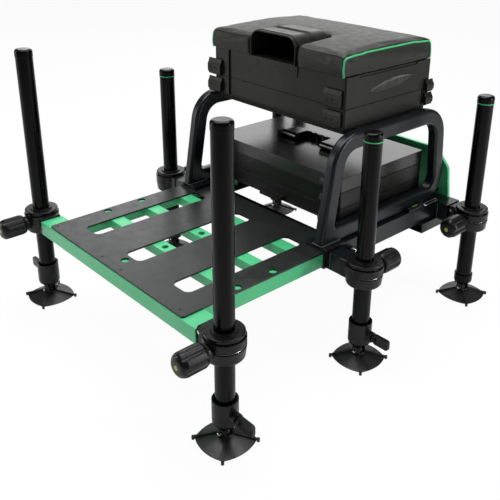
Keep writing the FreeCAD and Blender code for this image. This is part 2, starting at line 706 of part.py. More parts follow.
def make_hoop():
    """The right-hand hoop: a bent box tube that stands on its base plate and the channel."""
    hoop = new_body("hoop_right")
    d = s.hoop_depth
    run_z = channel_top
    low_x = s.hoop_x - s.hoop_width / 2
    high_x = s.hoop_x + s.hoop_width / 2
    front_half = d / 2 * (1 + s.hoop_front_lean * s.hoop_front_lean).root()
    rear_half = d / 2 * (1 + s.hoop_rear_lean * s.hoop_rear_lean).root()

    def front(z, offset):
        return (z - run_z) * s.hoop_front_lean - s.hoop_front_y + offset

    def rear(z, offset):
        return s.hoop_rear_y - (z - run_z) * s.hoop_rear_lean + offset

    outer = [
        (front(run_z, -front_half), run_z), (rear(run_z, rear_half), run_z),
        (rear(s.hoop_top, rear_half), s.hoop_top),
        (front(s.hoop_top, -front_half), s.hoop_top),
    ]
    top_in = s.hoop_top - d
    run_in = run_z + d
    window = [
        (front(run_in, front_half), run_in), (rear(run_in, -rear_half), run_in),
        (rear(top_in, -rear_half), top_in), (front(top_in, front_half), top_in),
    ]
    pad(hoop, "YZ", [outer, window], low_x, high_x)
    heel = rear(run_z, rear_half).number
    brow = s.hoop_top.number

    def bend(edge, y, z):
        return along(edge, "X") and near(middle(edge).y, y) and near(middle(edge).z, z)

    round_edges(hoop, s.hoop_bend + d / 2, lambda e: bend(e, outer[2][0], brow)
                or bend(e, outer[3][0], brow))
    round_edges(hoop, s.hoop_bend - d / 2, lambda e: bend(e, window[2][0], top_in)
                or bend(e, window[3][0], top_in))
    round_edges(hoop, s.hoop_heel_bend + d / 2, lambda e: bend(e, heel, run_z))
    round_edges(hoop, s.hoop_heel_bend - d / 2, lambda e: bend(e, window[1][0], run_in))
    round_edges(hoop, s.hoop_round + 2, lambda e: bend(e, window[0][0], run_in)
                or bend(e, outer[0][0], run_z))

    def long_edge(edge):
        on_side = near(middle(edge).x, low_x) or near(middle(edge).x, high_x)
        return on_side and edge.BoundBox.XLength < 0.01

    round_edges(hoop, s.hoop_round, long_edge)
    return hoop


finish(make_hoop())
nodes.append(mirrored("hoop_left", doc.getObject("hoop_right")))

panel = new_body("rear_panel")
outline = [
    (-s.panel_half, channel_top), (s.panel_half, channel_top),
    (s.panel_half - 9, s.panel_shoulder), (s.panel_top_half, s.panel_top),
    (-s.panel_top_half, s.panel_top), (9 - s.panel_half, s.panel_shoulder),
]
pad(panel, "XZ", [outline], s.panel_y, s.panel_y + s.panel_flange)
round_edges(panel, s.panel_round, lambda e: along(e, "Y") and middle(e).z
            > channel_top.number + 1)
inset = s.panel_thick
cut(panel, "XZ", [[
    (-(s.panel_half - inset), channel_top - 1), (s.panel_half - inset, channel_top - 1),
    (s.panel_half - 9 - inset, s.panel_shoulder - 1),
    (s.panel_top_half - 1, s.panel_top - inset),
    (-(s.panel_top_half - 1), s.panel_top - inset),
    (-(s.panel_half - 9 - inset), s.panel_shoulder - 1),
]], s.panel_y - 1, s.panel_y + s.panel_flange - s.panel_thick)
finish(panel)

level_x = s.hoop_x + s.hoop_width / 2 + s.face_gap + s.level_r
level_z = channel_top + s.level_r
housing = new_body("level_housing")
pad(housing, "XZ", [circle(level_x, level_z, s.level_r)], s.level_y, s.level_y + s.level_len)
cut(housing, "XZ", [circle(level_x, level_z, s.vial_r + s.slide_gap)],
    s.level_y + (s.level_len - s.vial_len) / 2, s.level_y + (s.level_len + s.vial_len) / 2)
window_low = s.level_y + (s.level_len - s.vial_len) / 2 + 3
cut(housing, "XY", [rectangle(level_x - s.vial_r, window_low, level_x + s.vial_r,
                              window_low + s.vial_len - 6)], level_z, level_z + s.level_r + 1)
finish(housing)
vial = new_body("level_vial")
pad(vial, "XZ", [circle(level_x, level_z, s.vial_r)],
    s.level_y + (s.level_len - s.vial_len) / 2,
    s.level_y + (s.level_len + s.vial_len) / 2)
finish(vial)


def make_footplate():
    """The green frame: front beam across the front legs, side rails and rungs."""
    frame = new_body("footplate_frame")
    front = -(s.front_leg_y + s.beam_depth / 2)
    back = front + s.beam_depth
    pad(frame, "YZ", tube_section(front, s.rail_low, back, rail_top), -tube_end, tube_end)
    for side in (-1, 1):
        inner = (s.half_plate - s.rail_width) * side
        outer = s.half_plate * side
        low, high = (outer, inner) if side < 0 else (inner, outer)
        pad(frame, "XZ", tube_section(low, s.rail_low, high, rail_top), back - 1, s.rail_rear)
        pad(frame, "XZ", [rectangle(low + 1, s.rail_low + 1, high - 1, rail_top - 1)],
            s.rail_rear - s.tube_plug, s.rail_rear)
    reach = s.half_plate - s.rail_width + 1
    for y in (s.rung_y1, s.rung_y2, s.rung_y3):
        pad(frame, "YZ", [rectangle(-y - s.rung_depth / 2, rail_top - s.rung_rise,
                                    -y + s.rung_depth / 2, rail_top)], -reach, reach)
    for y in (s.rung_y1, s.rung_y2):
        cut(frame, "XY", [circle(0, -y, s.rung_hole_r)], rail_top - s.rung_rise - 1,
            rail_top + 1)
    return frame


def make_plate():
    """The footplate: a flat sheet with three long slots and round holes."""
    plate = new_body("footplate_plate")
    front = -(s.front_leg_y + s.beam_depth / 2) + s.plate_front_gap
    pad(plate, "XY", [rounded(-s.half_plate, front, s.half_plate, s.plate_rear, size(6))],
        rail_top, plate_top)
    slots = []
    for place in (-1, 0, 1):
        x = s.slot_pitch * place
        slots.append(rounded(x - s.slot_width / 2, -s.slot_front, x + s.slot_width / 2,
                             -s.slot_rear, s.slot_round))
    holes = [circle(0, -(s.front_leg_y - 15), s.hole_r)]
    for side in (-1, 1):
        for y in (s.hole_y1, s.hole_y2):
            holes.append(circle(s.hole_x * side, -y, s.hole_r))
    cut(plate, "XY", slots + holes, rail_top - 1, plate_top + 1)
    return plate


finish(make_footplate())
finish(make_plate())


def case_outline(grow=0):
    """Plan of a case: corner blocks stand out from the front panel between them."""
    x = s.case_half - grow
    front = s.case_front + grow
    rear = s.case_rear - grow
    step = s.case_half - s.corner_width
    inset = s.case_front + s.panel_inset + grow
    return [(-x, front), (-step, front), (-step, inset), (step, inset), (step, front),
            (x, front), (x, rear), (-x, rear)]


def tray(label, low, top, lip):
    """An open tray with a groove where it meets the piece below."""
    body = new_body(label)
    pad(body, "XY", [case_outline()], low + s.case_lip, top)
    pad(body, "XY", [case_outline(s.case_lip)], low, low + s.case_lip + 0.01)
    round_edges(body, s.case_round, lambda e: along(e, "Z")
                and near(abs(middle(e).x), s.case_half, 0.01))
    wall = s.case_wall
    cut(body, "XY", [rectangle(-(s.case_half - wall), s.case_front + s.panel_inset + wall,
                               s.case_half - wall, s.case_rear - wall)],
        low + lip, top + 1)
    return body


def lid(label, low, top, crest):
    """A closed lid, hollow from below."""
    body = new_body(label)
    pad(body, "XY", [case_outline()], low + s.case_lip, top)
    pad(body, "XY", [case_outline(s.case_lip)], low, low + s.case_lip + 0.01)
    round_edges(body, s.case_round, lambda e: along(e, "Z")
                and near(abs(middle(e).x), s.case_half, 0.01))
    wall = s.case_wall
    cut(body, "XY", [rectangle(-(s.case_half - wall), s.case_front + s.panel_inset + wall,
                               s.case_half - wall, s.case_rear - wall)],
        low - 1, top - crest)
    return body


def hinge_leaf(body, seam, up):
    """Knuckles on the rear face; the lid's carry a bore and the tray's sit at each side."""
    r = s.hinge_r
    axis_y = s.case_rear + s.face_gap + r
    reach = r * 2 + 4
    for side in (-1, 1):
        x = s.hinge_x * side
        w = s.hinge_width / 2
        g = s.face_gap / 2
        if up:
            spans = [(x - w / 2 + g, x + w / 2 - g)]
            block = rectangle(s.case_rear - 1, seam, axis_y, seam + reach)
        else:
            spans = [(x - w, x - w / 2 - g), (x + w / 2 + g, x + w)]
            block = rectangle(s.case_rear - 1, seam - reach, axis_y, seam)
        for low, high in spans:
            pad(body, "YZ", [circle(axis_y, seam, r)], low, high)
            pad(body, "YZ", [block], low, high)
        if up:
            cut(body, "YZ", [circle(axis_y, seam, s.hinge_pin_r + s.bore_gap)],
                spans[0][0] - 1, spans[0][1] + 1)
        else:
            pad(body, "YZ", [circle(axis_y, seam, s.hinge_pin_r)], spans[0][0] + 1,
                spans[1][1] - 1)


lower_base = tray("lower_base", s.case_low, s.case_seam1, s.case_wall)
drawer_low = s.case_low + s.case_wall
cut(lower_base, "XZ", [rectangle(-(s.drawer_half + s.face_gap), drawer_low,
                                 s.drawer_half + s.face_gap,
                                 drawer_low + s.drawer_rise + s.face_gap * 2)],
    s.case_front - 1, s.case_front + s.panel_inset + s.case_wall + 1)
for side in (-1, 1):
    for y in (s.case_front + 8, s.case_rear - 38):
        x = (s.case_half - s.corner_width * 0.4) * side
        low, high = (-s.case_half, x) if side < 0 else (x, s.case_half)
        pad(lower_base, "XY", [rectangle(low, y, high, y + 30)], channel_top,
            s.case_low + 1)
finish(lower_base)

drawer = new_body("lower_drawer")
front = s.case_front + s.panel_inset
h0 = drawer_low + s.face_gap
h1 = drawer_low + s.face_gap + s.drawer_rise
pad(drawer, "XY", [rectangle(-s.drawer_half, front, s.drawer_half, front + s.drawer_length)],
    h0, h1)
cut(drawer, "XY", [rectangle(-(s.drawer_half - 3), front + 4, s.drawer_half - 3,
                             front + s.drawer_length - 3)], h0 + 2.5, h1 + 1)
pad(drawer, "XY", [rounded(-s.pull_half, front - s.pull_reach, s.pull_half, front + 2,
                           size(3))], h0 + s.pull_lift - 4, h0 + s.pull_lift + s.pull_rise - 4)
finish(drawer)

lower_tray = tray("lower_tray", s.case_seam1, s.case_seam2, s.case_wall)
hinge_leaf(lower_tray, s.case_seam2, False)
finish(lower_tray)

lower_lid = lid("lower_lid", s.case_seam2, s.case_top, s.case_wall)
hinge_leaf(lower_lid, s.case_seam2, True)
lug_y = s.handle_y + s.handle_bar / 2
pin_z = s.case_top + s.handle_rise / 2 + s.handle_lift
for side in (-1, 1):
    inner = s.handle_half + s.face_gap
    low, high = (inner, inner + s.handle_lug)
    if side < 0:
        low, high = -high, -low
    pad(lower_lid, "YZ", [rectangle(lug_y - 8, s.case_top - 1, lug_y + 8, pin_z + 6)],
        low, high)
    cut(lower_lid, "YZ", [circle(lug_y, pin_z, s.handle_pin_r + s.bore_gap)],
        low - 1, high + 1)
finish(lower_lid)

def handle_outline():
    """Plan of the handle: two broad arms and a rear bar with four finger hollows."""
    half = s.handle_half
    grip = s.grip_half
    front = s.handle_y
    bar = s.handle_y + s.handle_depth - s.handle_bar
    rear = s.handle_y + s.handle_depth
    r = s.handle_corner
    hollow = grip * -0.31
    return [(-half, front), (-grip, front), (-grip, bar, hollow),
            (grip * -0.5, bar, hollow), (0, bar, hollow), (grip * 0.5, bar, hollow),
            (grip, bar), (grip, front), (half, front), (half, rear - r, r),
            (half - r, rear), (r - half, rear, r), (-half, rear - r)]


handle = new_body("carry_handle")
hz0 = s.case_top + s.face_gap
hz1 = s.case_top + s.handle_rise
pad(handle, "XY", [handle_outline()], hz0, hz1)
round_edges(handle, s.handle_rise / 2 - 0.4, lambda e: along(e, "X") and (
    near(middle(e).y, s.handle_y) or near(middle(e).y, s.handle_y + s.handle_depth)))
for side in (-1, 1):
    inner, outer = (s.handle_half - 12) * side, (s.handle_half + s.handle_lug) * side
    low, high = (outer, inner) if side < 0 else (inner, outer)
    pad(handle, "YZ", [circle(lug_y, pin_z, s.handle_pin_r)], low, high)
finish(handle)

seat_base = new_body("seat_base")
inset = s.seat_skirt
pad(seat_base, "XY", [rounded(-(s.case_half - inset / 2), s.case_front + inset / 2,
                              s.case_half - inset / 2, s.case_rear - inset / 2, size(6))],
    s.seat_low, s.seat_seam1)
hoop_in = s.hoop_x - s.hoop_width / 2
for side in (-1, 1):
    for y in (s.lug_y1, s.lug_y2):
        low, high = s.case_half - inset, hoop_in
        if side < 0:
            low, high = -high, -low
        pad(seat_base, "XY", [rectangle(low, y - s.seat_lug_width / 2, high,
                                        y + s.seat_lug_width / 2)],
            s.seat_low - 12, s.seat_seam1 - 3)
finish(seat_base)

seat_tray = tray("seat_tray", s.seat_seam1, s.seat_seam2, s.case_wall)
hinge_leaf(seat_tray, s.seat_seam2, False)
for side in (-1, 1):
    low, high = s.case_half - 2, s.case_half + 1
    if side < 0:
        low, high = -high, -low
    cut(seat_tray, "YZ", [rectangle(s.side_groove_y - s.side_groove / 2, s.seat_seam1 + 5,
                                    s.side_groove_y + s.side_groove / 2, s.seat_seam2 + 1)],
        low, high)
finish(seat_tray)

seat_lid = lid("seat_lid", s.seat_seam2, s.seat_top, s.case_wall)
for side in (-1, 1):
    low, high = s.case_half - s.grip_depth, s.case_half + 1
    if side < 0:
        low, high = -high, -low
    tip = s.seat_top - s.grip_drop
    cut(seat_lid, "YZ", [[(s.grip_front, tip, s.grip_bow_r),
                          (s.grip_rear, tip + s.grip_rise, s.grip_bow_r)]], low, high)
    cut(seat_lid, "YZ", [rectangle(s.notch_front, s.seat_top - s.notch_rise, s.notch_rear,
                                   s.seat_top + 1)], low, high)
hinge_leaf(seat_lid, s.seat_seam2, True)
finish(seat_lid)


def cushion_section(drop):
    """Side view of the cushion: tucked-in foot, rounded shoulders and a crowned top."""
    low = s.seat_top
    top = s.seat_top + s.cushion_rise - drop
    r = s.cushion_round
    front = s.cushion_front
    rear = s.cushion_rear
    tuck = s.cushion_tuck
    half = (rear - front) / 2 - r
    crown = s.cushion_crown
    arch = (half * half + crown * crown) / (crown * 2)
    return [
        (front + tuck, low), (rear - tuck, low), (rear, low + s.cushion_tuck_rise),
        (rear, top - r, r), (rear - r, top, arch), (front + r, top, r), (front, top - r),
        (front, low + s.cushion_tuck_rise),
    ]


cushion = new_body("seat_cushion")
loft(cushion, "AdditiveLoft", [
    ("YZ", cushion_section(s.cushion_end_drop), -s.case_half),
    ("YZ", cushion_section(0), 0),
    ("YZ", cushion_section(s.cushion_end_drop), s.case_half),
], False)
cut(cushion, "XY", [rounded(-s.recess_half, s.cushion_front - 40, s.recess_half,
                            s.recess_rear, s.recess_round)],
    s.seat_top - 1, s.seat_top + s.cushion_rise + 20)
finish(cushion)

pocket = new_body("seat_pocket")
p = s.pocket_half
top = s.seat_top + s.pocket_rise
w = s.pocket_wall
pad(pocket, "XZ", [rectangle(-p, s.seat_top, p, top)], s.pocket_front, s.pocket_rear)
round_edges(pocket, s.pocket_round, lambda e: along(e, "Y") and middle(e).z > top.number - 1)
round_edges(pocket, size(10), lambda e: along(e, "Z")
            and near(middle(e).y, s.pocket_rear))
bend = s.pocket_round - w
cut(pocket, "XZ", [[
    (w - p, s.seat_top + w), (p - w, s.seat_top + w), (p - w, top - w - bend, bend),
    (p - w - bend, top - w), (bend + w - p, top - w, bend), (w - p, top - w - bend),
]], s.pocket_front - 1, s.pocket_rear - w * 3)
finish(pocket)


def latch_profile(face, out, low, rise):
    """Side view of a clip: a barrel's neck below, a bulged finger pad and a hooked top."""
    t = s.latch_thick
    r = s.latch_barrel_r
    neck = (face + out * (r + 0.5), low + r)
    return [
        neck, (face, low + r * 2 + 1), (face, low + rise), (face + out * 3, low + rise + 2),
        (face + out * (t - 3), low + rise * 0.8), (face + out * t, low + rise * 0.64),
        (face + out * t, low + rise * 0.36), (face + out * (r * 2 + 0.4), low + r + 1),
    ]


def latch(body, x0, x1, y, low, rise, side=None):
    """One clip with its hinge barrel at the bottom and a framed mark on its pad."""
    t = s.latch_thick
    r = s.latch_barrel_r
    mark = s.latch_mark
    if side is None:
        pad(body, "YZ", [latch_profile(y, -1, low, rise)], x0, x1)
        pad(body, "YZ", [circle(y - r - 0.5, low + r, r)], x0 + 3, x1 - 3)
        middle_x = (x0 + x1) / 2
        cut(body, "XZ", [
            rectangle(middle_x - 12, low + rise * 0.42, middle_x - 3, low + rise * 0.6),
            rectangle(middle_x + 3, low + rise * 0.42, middle_x + 12, low + rise * 0.6),
        ], y - t - 1, y - t + mark)
        return
    pad(body, "XZ", [latch_profile(side * x0, side, low, rise)], y, x1)
    pad(body, "XZ", [circle(side * (x0 + r + 0.5), low + r, r)], y + 3, x1 - 3)


def front_latches(label, low, rise, left_x):
    """The two clips that close one seam at the front."""
    y = s.case_front - s.face_gap
    w = s.latch_width / 2
    left = new_body(label + "_left")
    latch(left, -left_x - w, -left_x + w, y, low, rise)
    right = new_body(label + "_right")
    latch(right, s.latch_x - w, s.latch_x + w, y, low, rise)
    pair = doc.addObject("Part::Compound", label)
    pair.Links = [left, right]
    finish(pair)


front_latches("seat_lid_latches", s.seat_seam2 + 1, s.latch_rise, s.seat_latch_left_x)
front_latches("seat_tray_latches", s.seat_seam1 + 1, s.latch_rise - 3, s.seat_latch_left_x)
front_latches("case_lid_latches", s.case_seam2 - 6, s.latch_rise - 8, s.case_latch_left_x)
front_latches("case_tray_latches", s.case_seam1 - 6, s.latch_rise - 8, s.case_latch_left_x)
front_latches("case_base_latches", s.case_low - 4, s.latch_rise - 10, s.case_latch_left_x)

for side, hand in ((-1, "left"), (1, "right")):
    for tier, low in (("upper", s.seat_seam2 - 7), ("lower", s.seat_seam1 + 4)):
        clip = new_body("side_latch_%s_%s" % (hand, tier))
        face = s.case_half + s.face_gap
        latch(clip, face, s.side_latch_y + s.side_latch_width / 2,
              s.side_latch_y - s.side_latch_width / 2, low, size(26), side)
        finish(clip)

doc.recompute()
faults = []
for thing in doc.Objects:
    if any(word in ("Invalid", "Error") for word in thing.State):
        faults.append("%s: %s" % (thing.Label, thing.State))
for node in nodes:
    shape = node.Shape
    if shape.isNull() or not shape.isValid() or not shape.Solids:
        faults.append(node.Label + ": bad shape")
        continue
    if any(solid.Volume <= 0 for solid in shape.Solids):
        faults.append(node.Label + ": empty solid")
if faults:
    raise RuntimeError("\n".join(faults))

for node in nodes:
    node.Shape.exportStep(os.path.join("parts", node.Label + ".step"))
whole = Part.makeCompound([node.Shape for node in nodes]).BoundBox
print(len(nodes), "nodes", whole)
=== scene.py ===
"""A fishing seat box on six legs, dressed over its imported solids.

Lengths are metres in the part's own frame: X to the right seen from the footplate,
Y to the back, Z up, with the ground at zero.
"""
import math

import bmesh
import bpy
import numpy as np
from bpy.props import FloatProperty, FloatVectorProperty, IntProperty, PointerProperty
from mathutils import Matrix, Vector


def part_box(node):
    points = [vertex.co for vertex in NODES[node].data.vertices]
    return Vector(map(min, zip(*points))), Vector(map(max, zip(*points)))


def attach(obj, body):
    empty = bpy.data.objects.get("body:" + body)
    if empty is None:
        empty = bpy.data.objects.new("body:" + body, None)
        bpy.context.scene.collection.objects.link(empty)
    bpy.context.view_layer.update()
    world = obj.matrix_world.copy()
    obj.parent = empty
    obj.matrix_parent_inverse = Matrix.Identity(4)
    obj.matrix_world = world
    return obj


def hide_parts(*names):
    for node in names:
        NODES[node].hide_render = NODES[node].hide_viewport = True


bl_info = {
    "name": "Fishing Seat Box",
    "version": (1, 0, 0),
    "blender": (4, 5, 0),
    "location": "View3D > Sidebar > Seat Box",
    "description": "Dresses the seat box's solids with finishes, cushion and small fittings",
    "category": "Object",
}

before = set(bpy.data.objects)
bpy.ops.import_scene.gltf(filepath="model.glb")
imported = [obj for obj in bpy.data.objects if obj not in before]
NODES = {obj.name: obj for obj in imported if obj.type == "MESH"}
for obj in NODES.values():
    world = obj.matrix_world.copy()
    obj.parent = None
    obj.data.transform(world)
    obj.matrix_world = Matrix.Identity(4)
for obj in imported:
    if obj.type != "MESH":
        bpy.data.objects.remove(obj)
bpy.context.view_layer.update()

# Measures of the solids that their boxes don't give.
LEG_RADIUS = 0.0181        # a hair outside the legs' tubes
CAP_LENGTH = 0.016         # from a leg's top down to its cap's lower edge
CLAMP_RADIUS = 0.0352      # the clamps' widest turn, at the slit
SLIT_LOW = 0.2042          # height of the slit's lower edge
KNOB_AXIS = 0.204          # height of the clamp knobs' axis
BALL_HEIGHT = 0.021        # centre of each foot's ball
BALL_REACH = 0.0158        # from the ball's centre to the socket's outside
SHOULDER = 0.027           # radius of the solid cushion's long shoulders
SHOULDER_SHARP = 0.013     # radius of the same shoulders on the cover
SHOULDER_DROP = 0.005      # the shoulders' top, below the crown
END_DROP = 0.003           # how much lower the shoulders end than they are midway
CASE_BACK = 0.3508         # from the upper case's front ribs to its rear ones
CHANNEL_WEB = 0.2525       # outer face of the side channels
HOOP_FRONT_END = 0.041     # where the hoops' front feet end, towards the back


def low_high(node_name):
    """The lowest and highest corner of a node as arrays."""
    low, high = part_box(node_name)
    return np.array(low), np.array(high)


def legs():
    """Each leg's name, the x and y of its axis, and the height of its top."""
    for node_name in NODES:
        if node_name.startswith("leg_"):
            low, high = low_high(node_name)
            yield node_name[4:], (low[0] + high[0]) / 2, (low[1] + high[1]) / 2, high[2]


# ---- meshes from arrays


def grid_faces(rows, columns, wrap_rows=False, wrap_columns=False):
    """Quads of a grid of points, counted row by row; a wrapped side joins its far side."""
    r = np.arange(rows if wrap_rows else rows - 1)
    c = np.arange(columns if wrap_columns else columns - 1)
    r, c = np.meshgrid(r, c, indexing="ij")
    r1 = (r + 1) % rows
    c1 = (c + 1) % columns
    quads = np.stack([r * columns + c, r * columns + c1, r1 * columns + c1,
                      r1 * columns + c], -1)
    return quads.reshape(-1, 4).tolist()


def piece(name, parts, coat, body, smooth=35):
    """One object from several (points, faces) pairs, welded, turned outwards and shaded."""
    points = []
    faces = []
    start = 0
    for part_points, part_faces in parts:
        points.append(part_points)
        faces.extend([i + start for i in face] for face in part_faces)
        start += len(part_points)
    mesh = bpy.data.meshes.new(name)
    mesh.from_pydata(np.concatenate(points).tolist(), [], faces)
    made = bmesh.new()
    made.from_mesh(mesh)
    bmesh.ops.remove_doubles(made, verts=made.verts, dist=2e-6)
    bmesh.ops.dissolve_degenerate(made, edges=made.edges, dist=1e-7)
    bmesh.ops.recalc_face_normals(made, faces=made.faces)
    made.to_mesh(mesh)
    made.free()
    mesh.materials.append(FINISH[coat])
    mesh.shade_smooth()
    mesh.set_sharp_from_angle(angle=math.radians(smooth))
    thing = bpy.data.objects.new(name, mesh)
    bpy.context.scene.collection.objects.link(thing)
    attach(thing, body)


def basis(axis):
    """A unit vector along an axis, and two that are square to it and to each other."""
    axis = np.asarray(axis, float)
    axis = axis / np.linalg.norm(axis)
    side = np.cross(axis, (0.0, 0.0, 1.0) if abs(axis[2]) < 0.9 else (1.0, 0.0, 0.0))
    side = side / np.linalg.norm(side)
    return axis, side, np.cross(axis, side)


def lathe(profile, centre, axis=(0, 0, 1), steps=32):
    """A profile of (radius, height) turned about an axis: centre + h axis + r (cos, sin)."""
    profile = np.asarray(profile, float)
    axis, u, v = basis(axis)
    t = np.linspace(0, 2 * math.pi, steps, endpoint=False)
    ring = np.cos(t)[:, None] * u + np.sin(t)[:, None] * v
    points = (np.asarray(centre, float) + profile[None, :, 1, None] * axis
              + profile[None, :, 0, None] * ring[:, None, :])
    return points.reshape(-1, 3), grid_faces(steps, len(profile), wrap_rows=True)


def tube(path, radius, sides=12, normal=(1, 0, 0), closed=False):
    """A round tube: each path point plus radius (cos n + sin b), with flat ends closed."""
    path = np.asarray(path, float)
    if closed:
        tangent = np.roll(path, -1, 0) - np.roll(path, 1, 0)
    else:
        tangent = np.gradient(path, axis=0)
    tangent = tangent / np.linalg.norm(tangent, axis=1)[:, None]
    n = np.cross(tangent, np.asarray(normal, float))
    n = n / np.linalg.norm(n, axis=1)[:, None]
    b = np.cross(tangent, n)
    t = np.linspace(0, 2 * math.pi, sides, endpoint=False)
    ring = (n[:, None, :] * np.cos(t)[None, :, None]
            + b[:, None, :] * np.sin(t)[None, :, None]) * radius
    points = (path[:, None, :] + ring).reshape(-1, 3)
    faces = grid_faces(len(path), sides, closed, True)
    if not closed:
        faces.append(list(range(sides)))
        faces.append(list(range(len(points) - sides, len(points)))[::-1])
    return points, faces


def rounded_path(corners, radius, steps=8, closed=False):
    """A path through corners with each one replaced by a circular arc of the radius."""
    corners = [np.asarray(c, float) for c in corners]
    out = []
    count = len(corners)
    for i in range(count):
        if not closed and i in (0, count - 1):
            out.append(corners[i][None])
            continue
        a, p, b = corners[i - 1], corners[i], corners[(i + 1) % count]
        u = (a - p) / np.linalg.norm(a - p)
        w = (b - p) / np.linalg.norm(b - p)
        half = math.acos(float(np.clip(np.dot(u, w), -1, 1))) / 2
        r = radius[i] if isinstance(radius, (list, tuple)) else radius
        centre = p + (u + w) / np.linalg.norm(u + w) * r / math.sin(half)
        s = p + u * r / math.tan(half) - centre
        e = p + w * r / math.tan(half) - centre
        angle = math.acos(float(np.clip(np.dot(s, e) / (r * r), -1, 1)))
        t = np.linspace(0, 1, steps)[:, None]
        arc = (np.sin((1 - t) * angle) * s + np.sin(t * angle) * e) / math.sin(angle)
        out.append(centre + arc)
    return np.concatenate(out)


def resampled(path, step, closed=False):
    """The same path with points about a step apart, by length along it."""
    path = np.asarray(path, float)
    if closed:
        path = np.concatenate([path, path[:1]])
    run = np.concatenate([[0], np.cumsum(np.linalg.norm(np.diff(path, axis=0), axis=1))])
    count = max(4, int(run[-1] / step))
    at = np.linspace(0, run[-1], count, endpoint=not closed)
    return np.stack([np.interp(at, run, path[:, k]) for k in range(3)], -1)


def dome(radius, height, rim=0.0):
    """Profile of a low rounded head: a quarter-ellipse over a short rim."""
    t = np.linspace(0, math.pi / 2, 7)
    top = np.stack([radius * np.cos(t), rim + (height - rim) * np.sin(t)], -1)
    return np.concatenate([[[0, 0], [radius, 0]], top])


def block(low, high, lean=(0.0, 0.0, 0.0)):
    """A box between two corners; its upper face is moved by the lean."""
    low = np.asarray(low, float)
    high = np.asarray(high, float)
    pick = np.array([[0, 0, 0], [1, 0, 0], [1, 1, 0], [0, 1, 0],
                     [0, 0, 1], [1, 0, 1], [1, 1, 1], [0, 1, 1]], float)
    points = low + pick * (high - low) + pick[:, 2:] * np.asarray(lean, float)
    faces = [[0, 3, 2, 1], [4, 5, 6, 7], [0, 1, 5, 4], [1, 2, 6, 5], [2, 3, 7, 6],
             [3, 0, 4, 7]]
    return points, faces


def blocks(corners, size, lean):
    """Many equal boxes as one pair of points and faces, with their low corners given."""
    points, faces = block((0, 0, 0), size, lean)
    every = (corners[:, None, :] + points).reshape(-1, 3)
    shift = np.arange(len(corners))[:, None, None] * len(points)
    return every, (np.array(faces) + shift).reshape(-1, 4).tolist()


def mesh_rows(mesh):
    """The places and the normals of a mesh's vertices, as two arrays with a row each."""
    rows = []
    for source, field in ((mesh.vertices, "co"), (mesh.vertex_normals, "vector")):
        values = np.empty(len(mesh.vertices) * 3)
        source.foreach_get(field, values)
        rows.append(values.reshape(-1, 3))
    return rows


def hug(path, thing, lift, passes):
    """Path points drawn to the nearest points of a mesh, lifted along its normals."""
    path = np.asarray(path, float)
    points, normals = mesh_rows(thing.data)
    near = np.argmin(((path ** 2).sum(1)[:, None] + (points ** 2).sum(1)[None]
                      - 2 * path @ points.T), axis=1)
    drawn = points[near] + normals[near] * lift
    for _ in range(passes):
        drawn[1:-1] = drawn[1:-1] * 0.5 + (drawn[:-2] + drawn[2:]) * 0.25
    return drawn


def bead(start, end, radius, pitch=0.0035, sides=10):
    """A weld bead: a tube whose radius swells and shrinks along its way, as a sine."""
    ripples = np.linalg.norm(np.subtract(end, start)) / pitch
    count = max(12, int(ripples * 6))
    path = np.linspace(start, end, count)
    points, faces = tube(path, radius, sides, (0.3, 0.5, 0.81))
    swell = 1 + 0.16 * np.sin(2 * math.pi * np.linspace(0, 1, count) * ripples)
    rings = points.reshape(count, sides, 3)
    rings = path[:, None, :] + (rings - path[:, None, :]) * swell[:, None, None]
    return rings.reshape(-1, 3), faces


def socket_screw(centre, axis, radius, height):
    """A low screw head with a round recess, as a turned profile."""
    r = radius
    profile = [[0, 0], [r, 0], [r, height * 0.7], [r * 0.85, height], [r * 0.5, height],
               [r * 0.45, height * 0.35], [0, height * 0.35]]
    return lathe(profile, centre, axis, 18)


# ---- materials


def node(tree, kind, **values):
    """A new node, with each value set on its input or property, or linked to its input."""
    made = tree.nodes.new(kind)
    for key, value in values.items():
        if key not in made.inputs:
            setattr(made, key, value)
        else:
            feed(tree, made.inputs[key], value)
    return made


def feed(tree, socket, value):
    """Link an output to a socket, or set the socket's own value."""
    if isinstance(value, bpy.types.NodeSocket):
        tree.links.new(value, socket)
    else:
        socket.default_value = value


def empty_tree(holder):
    """The node tree of a new material or world, with nothing in it."""
    holder.use_nodes = True
    holder.node_tree.nodes.clear()
    return holder.node_tree


def ranged(tree, value, source, target):
    """A value whose span source (low, high) is laid on the span target."""
    made = node(tree, "ShaderNodeMapRange", Value=value, **{
        "From Min": source[0], "From Max": source[1],
        "To Min": target[0], "To Max": target[1]})
    return made.outputs["Result"]


def mixed(tree, share, first, second, blend="MIX"):
    """Two colours mixed by a share, by the colour sockets of the Mix node."""
    made = node(tree, "ShaderNodeMix", data_type="RGBA", blend_type=blend)
    for place, value in ((0, share), (6, first), (7, second)):
        feed(tree, made.inputs[place], value)
    return made.outputs[2]


def mixed_shader(tree, share, first, second):
    """Two shaders mixed by a share."""
    made = node(tree, "ShaderNodeMixShader")
    for socket, value in zip(made.inputs, (share, first, second)):
        tree.links.new(value, socket)
    return made.outputs[0]


